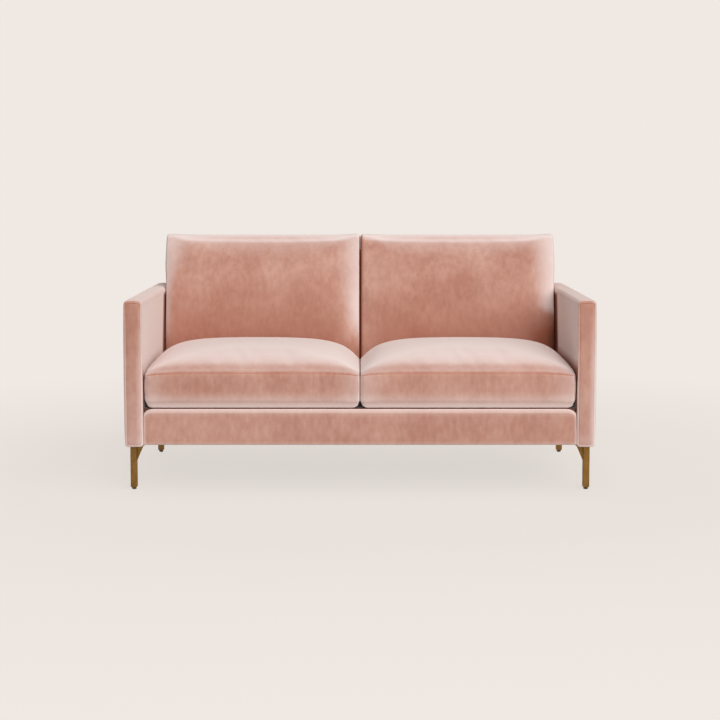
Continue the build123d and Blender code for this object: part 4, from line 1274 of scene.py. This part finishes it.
class LOVESEAT_OT_seat_cushions(bpy.types.Operator):
    """Two loose seat cushions: box cushions with a high crown and a lower lip."""

    bl_idname = "loveseat.seat_cushions"
    bl_label = "Seat cushions"

    def execute(self, context):
        size = context.scene.loveseat_seat
        for side, sign in SIDES:
            body = f"{side}_seat_cushion"
            low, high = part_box(f"{body}_cover")
            middle = np.array([(low.x + high.x) / 2, (low.y + high.y) / 2, 0])
            cushion = BoxCushion(size, sign, high.x - low.x, high.y - low.y, low.z, DECK_HEIGHT)
            cube, quads, sides = cushion.grid(*COVER_STEPS)
            points = cushion.settled(cube, sides) + middle
            points[:, 0] = sign * np.maximum(sign * points[:, 0], size.gap)
            piece = new_piece(body, "velvet", body, points, quads, f"{body}_cover")
            push(piece, cushion.seams(cube))
            from_front = cushion.plan(cube)[0][:, 1] + cushion.half[1]
            shaded = cushion.seams_and_gaps_shade(cube, 1 - ease(from_front, *SEAT_GAP_SHADE))
            # Painted shade in the gaps and seams, and painted light and shade over the panel, boxing and lip
            set_attribute(piece, "nap", shaded + self.brushed_and_lit(cushion, cube, from_front))
            cube, quads, _ = cushion.grid(*CORE_STEPS)
            points = cushion.surface(cube, CORE_INSET) + middle
            core = new_piece(f"{side}_seat_filling", "foam", body, points, quads, f"{body}_core")
        return {"FINISHED"}

    def brushed_and_lit(self, cushion, cube, from_front):
        """Painted light and shade of a cushion: painted shade on the panel by its front seam, a painted
        highlight on its rise, painted highlights on the boxing at its ends and above its lower seam, and on
        the lip down to the rail, where a painted shadow lies."""
        size = cushion.size
        rise = ease(from_front, *SEAT_RISE) * (1 - ease(from_front, *SEAT_RISE_END))
        panel = size.roll_shade * (1 - ease(from_front, *SEAT_ROLL)) + size.crown_highlight * rise
        end = (cube[:, 1] < -ON_SIDE) * (1 - ease(1 - np.abs(cube[:, 0]), *BOXING_END))
        height = (cube[:, 2] + 1) / 2 * (cushion.top_seam - cushion.low_seam)
        boxing = size.end_highlight * end + size.low_highlight * (1 - ease(height, *BOXING_FOOT))
        inside = ease(from_front, *LIP_TURN)
        lip = size.lip_highlight * (1 - inside) + size.under_shadow * inside * (1 - ease(from_front, *LIP_END))
        return np.where(cube[:, 2] > ON_SIDE, panel, np.where(cube[:, 2] < -ON_SIDE, lip, boxing))


# Where the back cushions' painted light and shade change: places up their length, from -1 to 1
BACK_UPPER = (0.2, 0.9)
BACK_WAIST = (-0.05, 0.45)
BACK_FOOT = (-0.6, 0.5)
LEFT_INNER_FADE = (-0.8, -0.15)
LEFT_OUTER_FADE = (-0.75, -0.2)
RIGHT_OUTER_FADE = (-0.22, -0.02)
RIGHT_CORNER = (-0.45, -0.15)

# Distances from the top and the sides: painted highlights on the rolled top and shoulders, painted shadow in
# the right cushion's corner and painted shade on its edge
BACK_TOP = (0.017, 0.035)
SHOULDER_REACH = 0.1
LEFT_OUTER_REACH = 0.045
LEFT_OUTER_GAIN = 0.065
CORNER_WIDE = (0.03, 0.14)
CORNER_TIGHT = (0.005, 0.035)
GAP_EDGE = (0, 0.014)

# Share of the waist's painted highlight on the right cushion's inner shoulder, and of the foot's painted
# shade that a shoulder takes away
WAIST_SHARE = 0.6
FOOT_SHARE = 0.65

# Painted shade on the sides that lie against a neighbour: the part of the boxing, and where it ends up the
# arm's side and up the other side
GAP_SHADE_PART = (0.0, 0.6)
GAP_SHADE_OUTER, GAP_SHADE_INNER = 0.1, 0.85
GAP_SHADE_FADE = (0.0, 0.15)

# Height of the outer side's swell above the arm, from -1 to 1, and the gap behind the cushion
SHOULDER_RISE = (0.3, 0.55)
REAR_GAP = 0.0005


class LOVESEAT_OT_back_cushions(bpy.types.Operator):
    """Two loose back cushions that lean on the back, with rolled edges and a swollen front panel."""

    bl_idname = "loveseat.back_cushions"
    bl_label = "Back cushions"

    def execute(self, context):
        size = context.scene.loveseat_back
        for side, sign in SIDES:
            body = f"{side}_back_cushion"
            low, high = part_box(f"{body}_cover")
            cushion = BoxCushion(size, sign, high.x - low.x, size.height + size.foot, REAR_GAP, 0.0)
            foot = np.array([(low.x + high.x) / 2, INSIDE_BACK, DECK_HEIGHT])
            cube, quads, sides = cushion.grid(*COVER_STEPS)
            points = self.placed(cushion, cushion.settled(cube, sides), foot)
            piece = new_piece(body, "velvet", body, points, quads, f"{body}_cover")
            push(piece, cushion.seams(cube))
            # Painted shade on the sides in the gaps beside the arm and the other cushion
            end = np.where(sign * cube[:, 0] > 0, GAP_SHADE_OUTER, GAP_SHADE_INNER)
            part = ease(cube[:, 2], *GAP_SHADE_PART) * (1 - ease(cube[:, 1] - end, *GAP_SHADE_FADE))
            shaded = cushion.seams_and_gaps_shade(cube, part)
            set_attribute(piece, "nap", shaded + self.brushed_and_lit(cushion, cube, sign))
            cube, quads, _ = cushion.grid(*CORE_STEPS)
            points = self.placed(cushion, cushion.surface(cube, CORE_INSET), foot)
            core = new_piece(f"{side}_back_filling", "foam", body, points, quads, f"{body}_core")
        return {"FINISHED"}

    def brushed_and_lit(self, cushion, cube, sign):
        """Painted light and shade of the front panel: painted highlights on the rolled top and the shoulders,
        painted shade towards the foot.

        The left cushion's shoulders carry the painted highlight far down, and the right cushion's outer
        shoulder, lit from the right, down to the arm's top. Below that its corner carries the arm's painted
        shadow, and the thin edge beside the left cushion painted shade.
        """
        size = cushion.size
        plan, _ = cushion.plan(cube)
        inner = sign * plan[:, 0] < 0
        from_side = cushion.half[0] - np.abs(plan[:, 0])
        from_top = cushion.half[1] - plan[:, 1]
        v = plan[:, 1] / cushion.half[1]
        upper = ease(v, *BACK_UPPER)
        waist = size.waist_highlight * (1 - ease(v, *BACK_WAIST))
        if sign < 0:
            nap = np.where(inner, size.edge_highlight + waist, size.edge_highlight)
            fade = np.where(inner, ease(v, *LEFT_INNER_FADE), ease(v, *LEFT_OUTER_FADE))
            outer_reach = LEFT_OUTER_REACH + LEFT_OUTER_GAIN * upper
        else:
            nap = np.where(inner, size.inner_shoulder_shade + WAIST_SHARE * waist, size.outer_highlight + waist)
            fade = np.where(inner, 1, ease(v, *RIGHT_OUTER_FADE))
            outer_reach = SHOULDER_REACH
        reach = np.where(inner, SHOULDER_REACH, outer_reach)
        shoulder = fade * (1 - ease(from_side / reach, 0, 1))
        top = size.top_shading * (1 - ease(from_top, *BACK_TOP))
        foot = size.foot_shading * (1 - ease(v, *BACK_FOOT)) * (1 - FOOT_SHARE * shoulder)
        nap = np.maximum(top, nap * shoulder) + foot + size.upper_highlight * upper
        if sign > 0:
            near = 2 - ease(from_side, *CORNER_WIDE) - ease(from_side, *CORNER_TIGHT)
            corner = size.corner_shadow * (1 - ease(v, *RIGHT_CORNER)) * near
            nap += np.where(inner, size.gap_edge_shade * (1 - ease(from_side, *GAP_EDGE)), corner)
        return np.where(cube[:, 2] > ON_SIDE, nap, 0)

    def placed(self, cushion, local, foot):
        """Points of a cushion leaned back from its foot.

        The top sags by height * (1 - across ** 8), and above the arm the outer side swells by across ** 4.
        """
        size = cushion.size
        rise = np.array([0, math.sin(size.rake), math.cos(size.rake)])
        forward = np.array([0, -math.cos(size.rake), math.sin(size.rake)])
        u, v = np.clip(local[:, :2] / cushion.half, -1, 1).T
        drop = size.sag * np.clip(v, 0, 1) * (1 - np.abs(u) ** 8)
        up = (size.height - size.foot) / 2 + local[:, 1] - drop
        outer = np.clip(cushion.sign * u, 0, 1) ** 4
        across = local[:, 0] + cushion.sign * size.shoulder * outer * ease(v, *SHOULDER_RISE)
        return foot + across[:, None] * (1, 0, 0) + up[:, None] * rise + local[:, 2:] * forward


# Lamps: places in metres, the spread of the key's sun, and the sizes of the square lamps
LAMP_TARGET = Vector((0, 0, 0.4))
KEY_PLACE = (2.9, -3.1, 3.7)
KEY_SPREAD = math.radians(55)
SQUARE_LAMPS = {
    "front": ((0.6, -5.2, 2.2), 3.0),
    "top": ((0.4, -0.2, 3.4), 2.6),
    "rear": ((-1.5, 4.5, 2.0), 3.0),
}

# Floor: its grid, and the darker tone of its mottling
FLOOR_RINGS = 8
FLOOR_TURNS = 64
FLOOR_TONE = 0.98


class LOVESEAT_OT_stage(bpy.types.Operator):
    """Camera, lamps, pale floor and background."""

    bl_idname = "loveseat.stage"
    bl_label = "Stage"

    def execute(self, context):
        stage = context.scene.loveseat_stage
        context.scene.view_settings.view_transform = "Standard"
        self.camera(context, stage)
        self.world(context, stage)
        self.floor(context, stage)
        self.lamp(context, "key", "SUN", KEY_PLACE, stage.key).angle = KEY_SPREAD
        for name, (place, size) in SQUARE_LAMPS.items():
            lamp = self.lamp(context, name, "AREA", place, getattr(stage, name))
            lamp.shape = "SQUARE"
            lamp.size = size
        return {"FINISHED"}

    def camera(self, context, stage):
        """Camera that looks down a little, with its picture shifted."""
        data = bpy.data.cameras.new("camera")
        data.lens = stage.lens
        data.shift_y = stage.shift
        camera = bpy.data.objects.new("camera", data)
        camera.location = stage.camera
        camera.rotation_euler = (math.pi / 2 - stage.pitch, 0, 0)
        context.scene.collection.objects.link(camera)
        context.scene.camera = camera

    def lamp(self, context, name, kind, place, power):
        """Lamp of a kind that faces the middle of the sofa."""
        data = bpy.data.lights.new(f"{name}_lamp", kind)
        data.energy = power
        lamp = bpy.data.objects.new(f"{name}_lamp", data)
        lamp.location = place
        lamp.rotation_euler = (LAMP_TARGET - Vector(place)).to_track_quat("-Z", "Y").to_euler()
        context.scene.collection.objects.link(lamp)
        return data

    def world(self, context, stage):
        """Even light, with the background colour wherever it is seen directly or in a reflection."""
        world = bpy.data.worlds.new("studio")
        world.use_nodes = True
        tree = world.node_tree
        light = tree.nodes["Background"]
        light.inputs["Color"].default_value = (*stage.ambient_tint, 1)
        light.inputs["Strength"].default_value = stage.ambient
        backdrop = tree.nodes.new("ShaderNodeBackground")
        backdrop.inputs["Color"].default_value = (*stage.background, 1)
        path = tree.nodes.new("ShaderNodeLightPath")
        seen = path.outputs["Is Camera Ray"]
        for name in ("Is Glossy Ray", "Is Transmission Ray"):
            either = tree.nodes.new("ShaderNodeMath")
            either.operation = "MAXIMUM"
            tree.links.new(seen, either.inputs[0])
            tree.links.new(path.outputs[name], either.inputs[1])
            seen = either.outputs["Value"]
        mix = tree.nodes.new("ShaderNodeMixShader")
        tree.links.new(seen, mix.inputs["Fac"])
        tree.links.new(light.outputs["Background"], mix.inputs[1])
        tree.links.new(backdrop.outputs["Background"], mix.inputs[2])
        tree.links.new(mix.outputs["Shader"], tree.nodes["World Output"].inputs["Surface"])
        context.scene.world = world

    def floor(self, context, stage):
        """Round floor that fades into the background away from the sofa: rings of even radii and turns."""
        rings = np.linspace(0, 1, FLOOR_RINGS + 1)[1:, None] * stage.floor_size
        turns = np.linspace(0, 2 * math.pi, FLOOR_TURNS + 1)[None, :-1]
        grid = np.stack([rings * np.cos(turns), rings * np.sin(turns), 0 * rings * turns], axis=-1)
        numbers = np.arange(grid.shape[0] * grid.shape[1]).reshape(grid.shape[:2])
        ahead = np.roll(numbers, -1, axis=1)
        quads = np.stack([numbers[:-1], numbers[1:], ahead[1:], ahead[:-1]], axis=-1).reshape(-1, 4)
        mesh = bpy.data.meshes.new("floor")
        mesh.from_pydata(grid.reshape(-1, 3), [], quads.tolist() + [numbers[0].tolist()])
        mesh.update()
        nodes = Nodes("studio_floor")
        nodes.set(Roughness=0.9, Specular_IOR_Level=0.0)
        mottle = nodes.spread(nodes.noise(3.0, detail=2.0), 0.3, 0.7)
        nodes.base(nodes.mix(mottle, [FLOOR_TONE * c for c in stage.floor], stage.floor))
        reach = nodes.add("ShaderNodeVectorMath", operation="LENGTH")
        nodes.link(nodes.place, reach.inputs[0])
        fade = nodes.spread(reach.outputs["Value"], stage.fade, stage.floor_size / 2, stage.clearness, 1.0)
        clear = nodes.add("ShaderNodeBsdfTransparent")
        mix = nodes.add("ShaderNodeMixShader")
        nodes.link(fade, mix.inputs["Fac"])
        nodes.link(nodes.shader.outputs["BSDF"], mix.inputs[1])
        nodes.link(clear.outputs["BSDF"], mix.inputs[2])
        nodes.link(mix.outputs["Shader"], nodes.tree.nodes["Material Output"].inputs["Surface"])
        mesh.materials.append(nodes.material)
        floor = bpy.data.objects.new("floor", mesh)
        context.scene.collection.objects.link(floor)


OPERATORS = (
    LOVESEAT_OT_finishes,
    LOVESEAT_OT_arms,
    LOVESEAT_OT_front_rail,
    LOVESEAT_OT_back,
    LOVESEAT_OT_deck_cloth,
    LOVESEAT_OT_dust_cover,
    LOVESEAT_OT_seat_cushions,
    LOVESEAT_OT_back_cushions,
    LOVESEAT_OT_zips,
    LOVESEAT_OT_stage,
)


class LOVESEAT_PT_panel(bpy.types.Panel):
    """Lists the steps that dress the loveseat."""

    bl_label = "Loveseat"
    bl_idname = "LOVESEAT_PT_panel"
    bl_space_type = "VIEW_3D"
    bl_region_type = "UI"
    bl_category = "Loveseat"

    def draw(self, context):
        """One button for each step, in order."""
        for operator in OPERATORS:
            self.layout.operator(operator.bl_idname)


GROUPS = {
    "loveseat_covers": LoveseatCovers,
    "loveseat_seat": LoveseatSeat,
    "loveseat_back": LoveseatBack,
    "loveseat_sheets": LoveseatSheets,
    "loveseat_finish": LoveseatFinish,
    "loveseat_stage": LoveseatStage,
}


def register():
    """Registers the sizes, the steps and the panel."""
    for name, group in GROUPS.items():
        bpy.utils.register_class(group)
        setattr(bpy.types.Scene, name, PointerProperty(type=group))
    for operator in OPERATORS:
        bpy.utils.register_class(operator)
    bpy.utils.register_class(LOVESEAT_PT_panel)


def unregister():
    """Removes them again."""
    bpy.utils.unregister_class(LOVESEAT_PT_panel)
    for operator in reversed(OPERATORS):
        bpy.utils.unregister_class(operator)
    for name, group in GROUPS.items():
        delattr(bpy.types.Scene, name)
        bpy.utils.unregister_class(group)


def main():
    """Dresses the loveseat step by step."""
    register()
    bpy.ops.loveseat.finishes()
    bpy.ops.loveseat.arms()
    bpy.ops.loveseat.front_rail()
    bpy.ops.loveseat.back()
    bpy.ops.loveseat.deck_cloth()
    bpy.ops.loveseat.dust_cover()
    bpy.ops.loveseat.seat_cushions()
    bpy.ops.loveseat.back_cushions()
    bpy.ops.loveseat.zips()
    bpy.ops.loveseat.stage()


if __name__ == "__main__":
    main()
